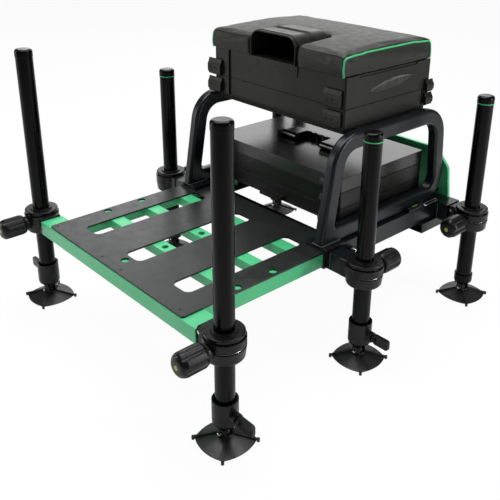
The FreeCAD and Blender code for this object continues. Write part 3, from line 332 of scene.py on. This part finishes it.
def finish(name, colour, rough, metal=0.0, grain=900.0, depth=0.12, mottle=0.25,
           rough_spread=0.12, bevel=0.0012, coat=0.0, sheen=0.0, cells=False, edge_highlight=0.0,
           specular=0.5, streak=None):
    """A procedural surface: mottled colour, uneven gloss, fine relief and eased edges.

    Colour is base (1 + mottle noise); roughness is base + spread (noise - 0.5); relief is
    grain noise or cells; where the eased normal leaves the face normal, edges are lighter,
    as a painted edge highlight.
    """
    material = bpy.data.materials.new(name)
    tree = empty_tree(material)
    spot = node(tree, "ShaderNodeTexCoord").outputs["Object"]
    fine_spot = spot
    if streak:
        fine_spot = node(tree, "ShaderNodeMapping", Vector=spot,
                         Scale=streak).outputs["Vector"]
    noise_span = (0.3, 0.7)
    cloud = node(tree, "ShaderNodeTexNoise", Vector=spot, Scale=14.0, Detail=4.0,
                 Roughness=0.55)
    level = ranged(tree, cloud.outputs["Fac"], noise_span, (1 - mottle, 1 + mottle))
    paint = mixed(tree, 1.0, (*colour, 1), level, "MULTIPLY")
    patches = node(tree, "ShaderNodeTexNoise", Vector=fine_spot, Scale=60.0, Detail=3.0)
    gloss = ranged(tree, patches.outputs["Fac"], noise_span,
                   (max(0.03, rough - rough_spread / 2),
                    min(1.0, rough + rough_spread / 2)))
    if cells:
        fine = node(tree, "ShaderNodeTexVoronoi", Vector=fine_spot, Scale=grain)
        relief = fine.outputs["Distance"]
    else:
        fine = node(tree, "ShaderNodeTexNoise", Vector=fine_spot, Scale=grain, Detail=2.0)
        relief = fine.outputs["Fac"]
    bump = node(tree, "ShaderNodeBump", Strength=depth, Distance=0.0006, Height=relief)
    if bevel > 0:
        eased = node(tree, "ShaderNodeBevel", samples=4, Radius=bevel).outputs["Normal"]
        feed(tree, bump.inputs["Normal"], eased)
        # Painted highlight: where the eased normal turns from the face normal, the colour is
        # mixed towards a lighter one.
        if edge_highlight > 0:
            shape = node(tree, "ShaderNodeNewGeometry")
            dot = node(tree, "ShaderNodeVectorMath", operation="DOT_PRODUCT")
            feed(tree, dot.inputs[0], eased)
            feed(tree, dot.inputs[1], shape.outputs["Normal"])
            highlight_share = ranged(tree, dot.outputs["Value"], (0.98, 0.80), (0.0, edge_highlight))
            highlight_colour = (*[min(1, c * 2.2 + 0.03) for c in colour], 1)
            paint = mixed(tree, highlight_share, paint, highlight_colour)
    bsdf = node(tree, "ShaderNodeBsdfPrincipled", Metallic=metal, Roughness=gloss,
                Normal=bump.outputs["Normal"], **{
                    "Base Color": paint, "Specular IOR Level": specular,
                    "Coat Weight": coat, "Coat Roughness": 0.15,
                    "Sheen Weight": sheen, "Sheen Roughness": 0.45})
    node(tree, "ShaderNodeOutputMaterial", Surface=bsdf.outputs["BSDF"])
    return material


class SeatBoxSettings(bpy.types.PropertyGroup):
    """The sizes and colours of the dressing that a user would change."""

    green: FloatVectorProperty(
        name="Green", description="Colour of the green tubes and the rear panel",
        default=(0.068, 0.51, 0.22), min=0, max=1, subtype="COLOR")
    coat: FloatVectorProperty(
        name="Frame coat", description="Colour of the dark powder coat on chassis and hoops",
        default=(0.0048, 0.0068, 0.0088), min=0, max=1, subtype="COLOR")
    cover: FloatVectorProperty(
        name="Cushion cover", description="Colour of the cushion's grained cover",
        default=(0.012, 0.0122, 0.0102), min=0, max=1, subtype="COLOR")
    piping_radius: FloatProperty(
        name="Piping radius", description="Radius of the green piping on the cushion's ends",
        default=0.0019, min=0.001, max=0.005, unit="LENGTH")
    ring_width: FloatProperty(
        name="Ring width", description="Width of the green rings under the leg caps",
        default=0.0022, min=0.001, max=0.01, unit="LENGTH")
    cushion_swell: FloatProperty(
        name="Cushion swell", description="Most that the cover may swell under its stuffing",
        default=0.0028, min=0.0, max=0.02, unit="LENGTH")
    cloth_steps: IntProperty(
        name="Cloth steps", description="Steps of the stuffing simulation",
        default=16, min=1, max=40)


# Finishes by name, filled by make_finishes.
FINISH = {}


def make_finishes(settings):
    """Every finish of the seat box, from its colour, its roughness and its own details."""
    coat, green, cover = (tuple(c) for c in (settings.coat, settings.green, settings.cover))
    # The edge value in a finish's entry lightens its edges as a painted edge highlight, not
    # as wear.
    table = (
        ("frame_coat", coat, 0.3, dict(grain=400, depth=0.008, mottle=0.12,
                                       rough_spread=0.03, edge_highlight=0.12, specular=0.32)),
        ("green_coat", green, 0.36, dict(grain=500, depth=0.06, mottle=0.06, bevel=0.0015,
                                         edge_highlight=0.12)),
        ("plate_coat", (0.011, 0.0125, 0.0125), 0.36,
         dict(grain=700, depth=0.07, mottle=0.2, bevel=0.0005, edge_highlight=0.2)),
        ("leg_coat", (0.0012, 0.0014, 0.0012), 0.2,
         dict(grain=400, depth=0.05, bevel=0.0008, streak=(1.0, 1.0, 0.03), edge_highlight=0.1,
              specular=0.14)),
        ("black_moulding", (0.0065, 0.0068, 0.0065), 0.3,
         dict(grain=500, depth=0.06, edge_highlight=0.12, specular=0.24)),
        ("case_shell", (0.0115, 0.0115, 0.0092), 0.4,
         dict(depth=0.05, edge_highlight=0.3, specular=0.26)),
        # The lower cases' shell is the same plastic as the upper case's, painted darker:
        # painted shade.
        ("shaded_lower_shell", (0.0055, 0.0058, 0.0048), 0.33,
         dict(grain=700, depth=0.06, edge_highlight=0.3, specular=0.26)),
        ("case_gloss", (0.010, 0.0105, 0.009), 0.22,
         dict(grain=420, depth=0.012, rough_spread=0.05, edge_highlight=0.12)),
        ("foot_rubber", (0.011, 0.0115, 0.0105), 0.36,
         dict(grain=500, depth=0.08, bevel=0.001, edge_highlight=0.14, specular=0.45)),
        ("bright_steel", (0.62, 0.62, 0.6), 0.25,
         dict(metal=1.0, grain=300, depth=0.05, mottle=0.08, bevel=0.0004)),
        ("dark_steel", (0.05, 0.05, 0.052), 0.3,
         dict(metal=1.0, grain=300, depth=0.05, mottle=0.1, bevel=0.0004)),
        ("cushion_cover", cover, 0.5,
         dict(grain=380, depth=0.1, mottle=0.08, bevel=0, cells=True, sheen=0.02,
              specular=0.32)),
        ("dark_cord", (0.008, 0.008, 0.0075), 0.5,
         dict(grain=700, depth=0.2, mottle=0.2, bevel=0)),
        ("green_piping", (0.03, 0.46, 0.15), 0.4, dict(depth=0.08, mottle=0.06, bevel=0)),
        ("knob_disc", (0.36, 0.42, 0.03), 0.3,
         dict(grain=500, depth=0.05, mottle=0.08, bevel=0, coat=0.3)),
        # The grips are the lid's own plastic. Their shape and gloss catch real light, and
        # their much lighter colour is a painted highlight.
        ("grip_painted_highlight", (0.045, 0.045, 0.040), 0.25,
         dict(grain=300, depth=0.04, mottle=0.3, bevel=0, specular=0.6)),
        ("weld_bead", (0.012, 0.014, 0.016), 0.2,
         dict(grain=300, depth=0.1, mottle=0.3, bevel=0, specular=0.6)),
        ("vial_liquid", (0.32, 0.75, 0.12), 0.12,
         dict(grain=200, depth=0.02, mottle=0.06, bevel=0, coat=0.6)),
    )
    for name, colour, rough, details in table:
        FINISH[name] = finish(name, colour, rough, **details)


# The finish of each carried-over solid, by how its name begins; the first match holds.
COATS = (
    (("footplate_frame", "rear_panel"), "green_coat"),
    (("footplate_plate",), "plate_coat"),
    (("leg_",), "leg_coat"),
    (("foot_",), "foot_rubber"),
    (("chassis_rail", "hoop", "rear_cross", "front_cross"), "frame_coat"),
    (("sleeve", "wing", "clamp", "chassis_clamps", "footplate_clamps", "level_housing"),
     "black_moulding"),
    (("level_vial",), "vial_liquid"),
    (("pull_pin",), "bright_steel"),
    (("seat_cushion",), "cushion_cover"),
    (("lower_lid", "carry_handle"), "case_gloss"),
    # The lower cases take the darker copy of the shell, which is painted shade.
    (("lower", "case"), "shaded_lower_shell"),
    (("",), "case_shell"),
)


def coat_nodes():
    """Give every carried-over solid its finish."""
    for name, thing in NODES.items():
        chosen = next(coat for starts, coat in COATS if name.startswith(starts))
        thing.data.materials.clear()
        thing.data.materials.append(FINISH[chosen])


# ---- cushion


def modify(thing, name, kind, **values):
    """Add a modifier to an object and set its values."""
    made = thing.modifiers.new(name, kind)
    for key, value in values.items():
        setattr(made, key, value)


def settle(thing):
    """Apply every modifier of an object by taking its evaluated mesh."""
    bpy.context.view_layer.update()
    graph = bpy.context.evaluated_depsgraph_get()
    mesh = bpy.data.meshes.new_from_object(thing.evaluated_get(graph))
    old = thing.data
    thing.modifiers.clear()
    thing.data = mesh
    bpy.data.meshes.remove(old)


def squarer(points, low, high):
    """The cushion's two long shoulders drawn out to a smaller radius.

    From the old shoulder's centre each point moves along its own ray by the ratio of the
    new outline's distance to the old radius; the new outline is two flats and an arc.
    """
    big, small = SHOULDER, SHOULDER_SHARP
    centre_z = high[2] - SHOULDER_DROP - big - END_DROP * (points[:, 0] / high[0]) ** 2
    flat = big - small
    for face, out in ((low[1], -1), (high[1], 1)):
        u = (points[:, 1] - (face - out * big)) * out
        v = points[:, 2] - centre_z
        inside = (u > 1e-6) & (v > 1e-6)
        length = np.maximum(np.hypot(u, v), 1e-9)
        du, dv = u / length, v / length
        along = (du + dv) * flat
        arc = along + np.sqrt(np.maximum(along ** 2 - 2 * flat ** 2 + small ** 2, 0))
        reach = np.where(du * big <= dv * flat, big / np.maximum(dv, 1e-6),
                         np.where(dv * big <= du * flat, big / np.maximum(du, 1e-6), arc))
        ratio = np.where(inside, reach / big, 1.0)
        points[:, 1] += out * u * (ratio - 1)
        points[:, 2] += v * (ratio - 1)
    return points


def stuff(cover, start, held_below, settings):
    """Blow the cover up as cloth, held at its foot, with each point's way capped.

    A point moves along its simulated way by cap tanh(length / cap).
    """
    held = cover.vertex_groups.new(name="held")
    held.add(np.nonzero(start[:, 2] < held_below)[0].tolist(), 1.0, "REPLACE")
    cloth = cover.modifiers.new("stuffing", "CLOTH")
    cloth.settings.quality = 6
    cloth.settings.mass = 0.3
    cloth.settings.tension_stiffness = 12
    cloth.settings.compression_stiffness = 12
    cloth.settings.bending_stiffness = 2
    cloth.settings.use_pressure = True
    cloth.settings.uniform_pressure_force = 4
    cloth.settings.effector_weights.gravity = 0
    cloth.settings.vertex_group_mass = "held"
    cloth.point_cache.frame_start = 1
    cloth.point_cache.frame_end = settings.cloth_steps
    for step in range(1, settings.cloth_steps + 1):
        bpy.context.scene.frame_set(step)
    settle(cover)
    bpy.context.scene.frame_set(1)
    shift = mesh_rows(cover.data)[0] - start
    length = np.linalg.norm(shift, axis=1)[:, None]
    cap = settings.cushion_swell
    shift = shift / np.maximum(length, 1e-9) * cap * np.tanh(length / cap)
    cover.data.vertices.foreach_set("co", (start + shift).ravel())
    cover.vertex_groups.clear()


def puffed_cushion(settings):
    """The cushion's cover: the solid's form, remeshed, and swelled as stuffed cloth."""
    low, high = low_high("seat_cushion")
    mesh = NODES["seat_cushion"].data.copy()
    mesh.name = "cushion_cover"
    made = bmesh.new()
    made.from_mesh(mesh)
    bmesh.ops.remove_doubles(made, verts=made.verts, dist=1e-5)
    made.to_mesh(mesh)
    made.free()
    cover = bpy.data.objects.new("cushion_cover", mesh)
    bpy.context.scene.collection.objects.link(cover)
    modify(cover, "even", "REMESH", mode="VOXEL", voxel_size=0.0045)
    modify(cover, "soften", "SMOOTH", factor=0.5, iterations=2)
    settle(cover)
    inset, foot, clear, held_height = 0.0022, 0.003, 0.0003, 0.010
    points, normals = mesh_rows(cover.data)
    points = squarer(points, low, high)
    points = points - normals * inset * (points[:, 2:] > low[2] + foot)
    points[:, 2] = np.maximum(points[:, 2], low[2] + clear)
    cover.data.vertices.foreach_set("co", points.ravel())
    stuff(cover, points, low[2] + held_height, settings)
    cover.data.update()
    modify(cover, "fair", "SMOOTH", factor=0.4, iterations=2)
    modify(cover, "finer", "SUBSURF", levels=1, render_levels=1)
    settle(cover)
    cover.data.materials.clear()
    cover.data.materials.append(FINISH["cushion_cover"])
    cover.data.shade_smooth()
    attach(cover, "seat_lid")
    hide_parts("seat_cushion")


def end_outline(x):
    """The cushion's outline seen from the side, at one end, as a path of points.

    It goes up the front, over a crown of 1 - (y / half)^2 between two shoulders, and down.
    """
    low, high = low_high("seat_cushion")
    y0, y1 = low[1], high[1]
    top = high[2] - 0.008
    corners = [(x, y0 + 0.003, low[2]), (x, y0, low[2] + 0.012), (x, y0, top),
               (x, y1, top), (x, y1, low[2] + 0.012), (x, y1 - 0.003, low[2])]
    shoulder = SHOULDER_SHARP
    radii = [0, 0.02, shoulder, shoulder, 0.02, 0]
    path = resampled(rounded_path(corners, radii, 10), 0.003)
    middle = (y0 + y1) / 2
    half = (y1 - y0) / 2 - shoulder
    crown = 0.005 * np.clip(1 - ((path[:, 1] - middle) / half) ** 2, 0, 1)
    path[:, 2] += crown * (path[:, 2] > top - 0.002)
    return path


def make_piping(settings):
    """Green piping on both end seams, and a dark cord along the shoulders.

    The piping follows the end outline; the cord runs straight in x, with a drop of
    (x / end)^2, at one angle on each shoulder's arc. Both are drawn on to the cover.
    """
    cover = bpy.data.objects["cushion_cover"]
    low, high = low_high("seat_cushion")
    parts = []
    for side in (-1, 1):
        x = (high[0] if side > 0 else low[0]) + side * 0.004
        path = hug(end_outline(x) - (0, 0, 0.0055), cover, settings.piping_radius * 0.35, 6)
        parts.append(tube(path, settings.piping_radius, 10))
    piece("cushion_piping", parts, "green_piping", "seat_lid")
    parts = []
    end = high[0] - 0.003
    pocket = 0.076
    reach, lean = 0.034, math.radians(46)
    for y, out, spans in ((low[1], -1, ((-end, -pocket), (pocket, end))),
                          (high[1], 1, ((-end, end),))):
        for x0, x1 in spans:
            x = np.linspace(x0, x1, max(12, int((x1 - x0) / 0.003)))
            centre_y = y - out * SHOULDER
            centre_z = high[2] - SHOULDER_DROP - SHOULDER - END_DROP * (x / end) ** 2
            path = np.stack([x, np.full_like(x, centre_y + out * reach * math.cos(lean)),
                             centre_z + reach * math.sin(lean)], -1)
            parts.append(tube(hug(path, cover, 0.0003, 8), 0.0011, 8, (0, 0, 1)))
    piece("shoulder_cord", parts, "dark_cord", "seat_lid")


# ---- fittings


def make_leg_trims(settings):
    """Green rings under the caps of the four shorter legs: a turned rectangle each."""
    for name, x, y, top in legs():
        if name.startswith("front"):
            continue
        z0, z1 = top - CAP_LENGTH - settings.ring_width, top - CAP_LENGTH
        r0, r1 = LEG_RADIUS, LEG_RADIUS + 0.0006
        profile = [[r0, z0], [r1, z0], [r1, z1], [r0, z1], [r0, z0]]
        piece("cap_ring_" + name, [lathe(profile, (x, y, 0), steps=48)], "green_piping",
              "leg_" + name)


def make_clamp_trims():
    """Bright rings in the clamps' slits, screws in their bosses and discs on the knobs.

    Rings are a turned flat ridge, and discs a turned quarter-ellipse.
    """
    r, z = CLAMP_RADIUS, SLIT_LOW
    profile = [[r - 0.002, z], [r, z], [r + 0.0008, z + 0.0006], [r, z + 0.0014],
               [r - 0.002, z + 0.0014], [r - 0.002, z]]
    for name, x, y, _ in legs():
        body = "footplate" if name.startswith("front") else "chassis"
        piece("slit_ring_" + name, [lathe(profile, (x, y, 0), steps=64)], "bright_steel",
              body)
        side = 1 if x > 0 else -1
        aim = 1 if name.startswith("middle") else -1
        spot = (x - side * 0.0425, y + aim * 0.022, 0.214)
        piece("boss_screw_" + name, [socket_screw(spot, (0, aim, 0), 0.0035, 0.001)],
              "bright_steel", body)
        low, high = low_high("clamp_knob_" + name)
        end = high[1] if aim > 0 else low[1]
        disc = lathe(dome(0.0048, 0.0012), (x, end - aim * 0.0003, KNOB_AXIS), (0, aim, 0),
                     28)
        piece("knob_disc_" + name, [disc], "knob_disc", "clamp_knob_" + name)


def make_foot_trims():
    """The bolt through each foot's socket: a turned domed head and a six-sided nut."""
    for name, x, y, _ in legs():
        head = lathe(dome(0.0034, 0.002, 0.0006), (x, y - BALL_REACH, BALL_HEIGHT),
                     (0, -1, 0), 24)
        nut = lathe(dome(0.0042, 0.003, 0.0018), (x, y + BALL_REACH, BALL_HEIGHT),
                    (0, 1, 0), 6)
        piece("foot_bolt_" + name, [head, nut], "bright_steel", "foot_" + name)


def make_footplate_trims():
    """Turned screw heads in the plate: four at its front edge and three at each side.

    The side ones are sunk in it, because they pass under the channels' flanges.
    """
    low, high = low_high("footplate_plate")
    parts = [socket_screw((x, low[1] + 0.012, high[2] - 0.0004), (0, 0, 1), 0.0027, 0.001)
             for x in (-0.226, -0.043, 0.027, 0.217)]
    parts += [socket_screw((x, low[1] + along, high[2] - 0.0008), (0, 0, 1), 0.0024, 0.0009)
              for x in (-0.2245, 0.2245) for along in (0.12, 0.20, 0.31)]
    piece("plate_screws", parts, "dark_steel", "footplate")


def make_case_trims():
    """The strip, its screws and notch under the pocket, and the upper case's low ribs."""
    low, high = low_high("seat_lid")
    face, top = low[1] + 0.004, high[2]
    strip = block((-0.0665, face - 0.0012, top - 0.025),
                  (0.0665, face + 0.0005, top + 0.0012))
    piece("front_strip", [strip], "case_shell", "seat_lid")
    screws = [socket_screw((x, face - 0.0012, top - 0.013), (0, -1, 0), 0.0026, 0.0011)
              for x in (-0.059, 0.0, 0.059)]
    piece("front_strip_screws", screws, "dark_steel", "seat_lid")
    notch = block((0.0645, face - 0.0026, top - 0.016),
                  (0.0667, face - 0.0010, top - 0.003))
    piece("front_strip_notch", [notch], "foot_rubber", "seat_lid")
    x = np.arange(-0.196, 0.192, 0.0065)
    corners = np.stack([x, np.full_like(x, 0.0712), np.full_like(x, 0.4465)], -1)
    size, lean = (0.0022, 0.0028, 0.0085), (0.004, 0, 0)
    front = blocks(corners, size, lean)
    back = blocks(corners * (1, 0, 1) + (0, CASE_BACK, 0), size, lean)
    piece("base_ribs", [front, back], "case_shell", "chassis")


def make_side_grips():
    """A scooped lens in each side recess of the seat lid.

    Along u it follows the chord from front to rear; across v it spans two arcs of one
    radius; the depth is (1 - v^2) leaned upwards, so the long lower slope faces up.
    """
    high = low_high("seat_lid")[1]
    front = np.array([0.138, high[2] - 0.040])
    rear = np.array([0.293, high[2] - 0.026])
    radius, rim, deepest = 0.270, 0.0004, 0.0021
    chord = rear - front
    length = np.linalg.norm(chord)
    across = np.array([-chord[1], chord[0]]) / length
    u = np.linspace(0, 1, 49)
    v = np.linspace(-1, 1, 17)
    s = (u - 0.5) * length
    half = np.sqrt(radius ** 2 - s ** 2) - math.sqrt(radius ** 2 - (length / 2) ** 2)
    half = np.maximum(half - rim, 0)
    spot = (front + u[:, None, None] * chord
            + half[:, None, None] * v[None, :, None] * across)
    dip = (1 - v ** 2) * (1 + 0.55 * v)
    depth = deepest / dip.max() * dip[None, :] * np.sqrt(half / half.max())[:, None]
    parts = []
    for side in (-1, 1):
        scoop = np.concatenate([side * (high[0] - 0.0002 - depth)[..., None], spot], -1)
        back = scoop[:, ::-1].copy()
        back[..., 0] = side * (high[0] - 0.0025)
        ring = np.concatenate([scoop, back], 1)
        parts.append((ring.reshape(-1, 3), grid_faces(len(u), ring.shape[1], False, True)))
    # The scoops' lighter finish is a painted highlight over the lid's plastic.
    piece("side_grips", parts, "grip_painted_highlight", "seat_lid", smooth=50)


def arch(y, grow, foot):
    """The pocket's arch at one depth: up, over two rounded shoulders, and down again."""
    high = low_high("seat_pocket")[1]
    x, top, r = high[0] + grow, high[2] + grow, 0.026 + grow
    corners = [(-x, y, foot), (-x, y, top), (x, y, top), (x, y, foot)]
    return resampled(rounded_path(corners, [0, r, r, 0], 14), 0.003)


def make_pocket_trims():
    """The pocket's rolled rim and the low ridges over its arch, two in front, three behind.

    Each is a round tube along the arch.
    """
    low = low_high("seat_pocket")[0]
    rim = arch(low[1] + 0.0004, -0.0015, low[2] + 0.002)
    parts = [tube(rim, 0.0019, 10, (0, 1, 0))]
    for back in (0.006, 0.0095, 0.052, 0.058, 0.064):
        ridge = arch(low[1] + back, 0.0001, low[2] + 0.012)
        parts.append(tube(ridge, 0.0011, 8, (0, 1, 0)))
    piece("pocket_ridges", parts, "case_shell", "seat_lid")


def make_welds():
    """Weld beads at the hoops' feet, the stubs and the rear cross tube, on both sides."""
    low, high = low_high("hoop_right")
    seam = low_high("chassis_rail_right")[1][2] + 0.0004
    front = low[1] - 0.0004
    runs = []
    for side in (-1, 1):
        outer = side * (high[0] + 0.0006)
        inner = side * (low[0] - 0.0006)
        runs += [((x, front + 0.001, seam), (x, HOOP_FRONT_END, seam))
                 for x in (outer, inner)]
        runs.append(((inner, front, seam), (outer, front, seam)))
        runs += [((side * CHANNEL_WEB, y, 0.1885), (side * CHANNEL_WEB, y, 0.2235))
                 for y in (-0.0074, 0.0334, 0.3678)]
    parts = [bead(start, end, 0.0019) for start, end in runs]
    piece("weld_beads", parts, "weld_bead", "chassis", smooth=80)


def make_chassis_trims():
    """The panel's bolts, the wire clip behind the level and the rings on the pull pins.

    Bolts are turned heads; clip and rings are round wire along a closed path.
    """
    low, high = low_high("rear_panel")
    z = low[2] + 0.012
    bolts = (-0.22, -0.075, 0.075, 0.22)
    heads = [socket_screw((x, high[1] - 0.0002, z), (0, 1, 0), 0.005, 0.003) for x in bolts]
    heads += [socket_screw((x, low[1] + 0.0002, z), (0, -1, 0), 0.0045, 0.002)
              for x in bolts]
    piece("panel_bolts", heads, "dark_steel", "chassis")
    low, high = low_high("level_housing")
    x, y, z = (low[0] + high[0]) / 2, high[1] + 0.008, low[2] + 0.002
    loop = rounded_path([(x - 0.004, y, z), (x - 0.004, y + 0.052, z),
                         (x + 0.005, y + 0.052, z), (x + 0.005, y, z)], 0.004, 6, True)
    clip = tube(resampled(loop, 0.002, True), 0.0013, 8, (0, 0, 1), True)
    piece("wire_clip", [clip], "bright_steel", "chassis")
    t = np.linspace(0, 2 * math.pi, 28, endpoint=False)
    for hand, side in (("left", -1), ("right", 1)):
        low, high = low_high("pull_pin_" + hand)
        x = (low[0] if side < 0 else high[0]) + side * 0.002
        y, z = (low[1] + high[1]) / 2, (low[2] + high[2]) / 2
        ring = np.stack([x + side * (0.010 + 0.011 * np.cos(t)), y + 0.011 * np.sin(t),
                         np.full_like(t, z)], -1)
        piece("pull_ring_" + hand, [tube(ring, 0.0011, 8, (0, 0, 1), True)],
              "bright_steel", "pull_pin_" + hand)


# ---- stage

WHITE = (1, 1, 1, 1)
FLOOR_GREY = (0.86, 0.86, 0.86, 1)
FLOOR_HALF = 12.0
FLOOR_HEIGHT = -0.0004
CAMERA_SHARE = 0.95        # how much of the floor's own white the camera sees
ROOM_LIGHT = 0.12

# Each lamp's name, place, the height it is aimed at, width and length, and watts.
LAMPS = (
    ("overhead", (-0.2, 0.1, 2.3), 0.4, (2.2, 1.8), 66),
    ("back_wall", (-2.3, 2.1, 1.5), 0.35, (3.2, 1.6), 32),
    ("right_window", (2.4, 1.2, 1.0), 0.3, (0.35, 1.8), 34),
    ("left_window", (-2.2, -2.2, 1.0), 0.3, (0.6, 1.7), 22),
)

# The camera as solved from the photograph: turned left, tilted down, rolled, in degrees.
CAMERA_PLACE = (1.09706, -0.97998, 0.90403)
CAMERA_TURN = (46.98, 21.75, 0.68)
CAMERA_LENS = 51.19
CAMERA_SHIFT = (-0.0298, -0.150)


def make_floor(scene):
    """A flat pale floor: a dull surface for the light, near white for the camera."""
    mesh = bpy.data.meshes.new("floor")
    w, z = FLOOR_HALF, FLOOR_HEIGHT
    mesh.from_pydata([(-w, -w, z), (w, -w, z), (w, w, z), (-w, w, z)], [], [(0, 1, 2, 3)])
    floor = bpy.data.objects.new("floor", mesh)
    scene.collection.objects.link(floor)
    material = bpy.data.materials.new("pale_floor")
    tree = empty_tree(material)
    seen = node(tree, "ShaderNodeLightPath").outputs["Is Camera Ray"]
    share = node(tree, "ShaderNodeMath", operation="MULTIPLY")
    feed(tree, share.inputs[0], seen)
    feed(tree, share.inputs[1], CAMERA_SHARE)
    dull = node(tree, "ShaderNodeBsdfDiffuse", Color=FLOOR_GREY).outputs[0]
    glow = node(tree, "ShaderNodeEmission", Color=WHITE, Strength=1.0).outputs[0]
    node(tree, "ShaderNodeOutputMaterial",
         Surface=mixed_shader(tree, share.outputs[0], dull, glow))
    mesh.materials.append(material)


def make_world(scene):
    """A dim even room for the light, and plain white for the camera."""
    scene.world = bpy.data.worlds.new("studio")
    tree = empty_tree(scene.world)
    seen = node(tree, "ShaderNodeLightPath").outputs["Is Camera Ray"]
    room, white = (node(tree, "ShaderNodeBackground", Color=WHITE, Strength=s).outputs[0]
                   for s in (ROOM_LIGHT, 1.0))
    node(tree, "ShaderNodeOutputWorld", Surface=mixed_shader(tree, seen, room, white))


def make_lamps(scene):
    """The four soft lamps, each turned to a point over the middle of the floor."""
    for name, place, aim, size, watts in LAMPS:
        data = bpy.data.lights.new(name, "AREA")
        data.shape = "RECTANGLE"
        data.size, data.size_y = size
        data.energy = watts
        lamp = bpy.data.objects.new(name, data)
        lamp.location = place
        way = Vector((0, 0, aim)) - Vector(place)
        lamp.rotation_euler = way.to_track_quat("-Z", "Y").to_euler()
        scene.collection.objects.link(lamp)


def make_camera(scene):
    """The photograph's view: ahead from the two angles, then rolled about itself."""
    data = bpy.data.cameras.new("photograph_view")
    camera = bpy.data.objects.new("photograph_view", data)
    scene.collection.objects.link(camera)
    scene.camera = camera
    yaw, pitch, roll = map(math.radians, CAMERA_TURN)
    ahead = Vector((-math.sin(yaw) * math.cos(pitch), math.cos(yaw) * math.cos(pitch),
                    -math.sin(pitch)))
    right = Vector((math.cos(yaw), math.sin(yaw), 0))
    up = right.cross(ahead)
    leaned = math.cos(roll) * right + math.sin(roll) * up
    upright = -math.sin(roll) * right + math.cos(roll) * up
    turn = Matrix((leaned, upright, -ahead)).transposed()
    camera.matrix_world = Matrix.Translation(CAMERA_PLACE) @ turn.to_4x4()
    data.sensor_width = 36.0
    data.lens = CAMERA_LENS
    data.shift_x, data.shift_y = CAMERA_SHIFT
    data.clip_end = 60.0


# ---- the add-on


class SEATBOX_OT_finishes(bpy.types.Operator):
    """Make the finishes and coat every solid with its own"""

    bl_idname = "seatbox.finishes"
    bl_label = "Finishes"

    def execute(self, context):
        make_finishes(context.scene.seat_box)
        coat_nodes()
        return {"FINISHED"}


class SEATBOX_OT_cushion(bpy.types.Operator):
    """Make the stuffed cushion with its green piping"""

    bl_idname = "seatbox.cushion"
    bl_label = "Cushion and piping"

    def execute(self, context):
        puffed_cushion(context.scene.seat_box)
        make_piping(context.scene.seat_box)
        return {"FINISHED"}


class SEATBOX_OT_leg_trims(bpy.types.Operator):
    """Make the rings on the legs, the clamps' small parts and the feet's bolts"""

    bl_idname = "seatbox.leg_trims"
    bl_label = "Leg fittings"

    def execute(self, context):
        make_leg_trims(context.scene.seat_box)
        make_clamp_trims()
        make_foot_trims()
        return {"FINISHED"}


class SEATBOX_OT_footplate_trims(bpy.types.Operator):
    """Make the footplate's screws"""

    bl_idname = "seatbox.footplate_trims"
    bl_label = "Footplate fittings"

    def execute(self, context):
        make_footplate_trims()
        return {"FINISHED"}


class SEATBOX_OT_case_trims(bpy.types.Operator):
    """Make the small parts of the cases and the chassis"""

    bl_idname = "seatbox.case_trims"
    bl_label = "Case and chassis fittings"

    def execute(self, context):
        make_case_trims()
        make_pocket_trims()
        make_side_grips()
        make_welds()
        make_chassis_trims()
        return {"FINISHED"}


class SEATBOX_OT_stage(bpy.types.Operator):
    """Make the pale floor, the studio light and the photograph's camera"""

    bl_idname = "seatbox.stage"
    bl_label = "Stage"

    def execute(self, context):
        context.scene.view_settings.view_transform = "Standard"
        for maker in (make_floor, make_world, make_lamps, make_camera):
            maker(context.scene)
        return {"FINISHED"}


class SEATBOX_PT_panel(bpy.types.Panel):
    """The seat box's settings and makers"""

    bl_idname = "SEATBOX_PT_panel"
    bl_label = "Seat Box"
    bl_space_type = "VIEW_3D"
    bl_region_type = "UI"
    bl_category = "Seat Box"

    def draw(self, context):
        for field in SeatBoxSettings.__annotations__:
            self.layout.prop(context.scene.seat_box, field)
        for maker in MAKERS:
            self.layout.operator(maker.bl_idname)


MAKERS = (SEATBOX_OT_finishes, SEATBOX_OT_cushion, SEATBOX_OT_leg_trims,
          SEATBOX_OT_footplate_trims, SEATBOX_OT_case_trims, SEATBOX_OT_stage)
CLASSES = (SeatBoxSettings, *MAKERS, SEATBOX_PT_panel)


def register():
    """Register the classes, and hang the settings on the scene."""
    for kind in CLASSES:
        bpy.utils.register_class(kind)
    bpy.types.Scene.seat_box = PointerProperty(type=SeatBoxSettings)


def unregister():
    """Take away what register added, in reverse."""
    del bpy.types.Scene.seat_box
    for kind in reversed(CLASSES):
        bpy.utils.unregister_class(kind)


def main():
    """Register the add-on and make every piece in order."""
    register()
    for maker in MAKERS:
        group, name = maker.bl_idname.split(".")
        getattr(getattr(bpy.ops, group), name)()


if __name__ == "__main__":
    main()
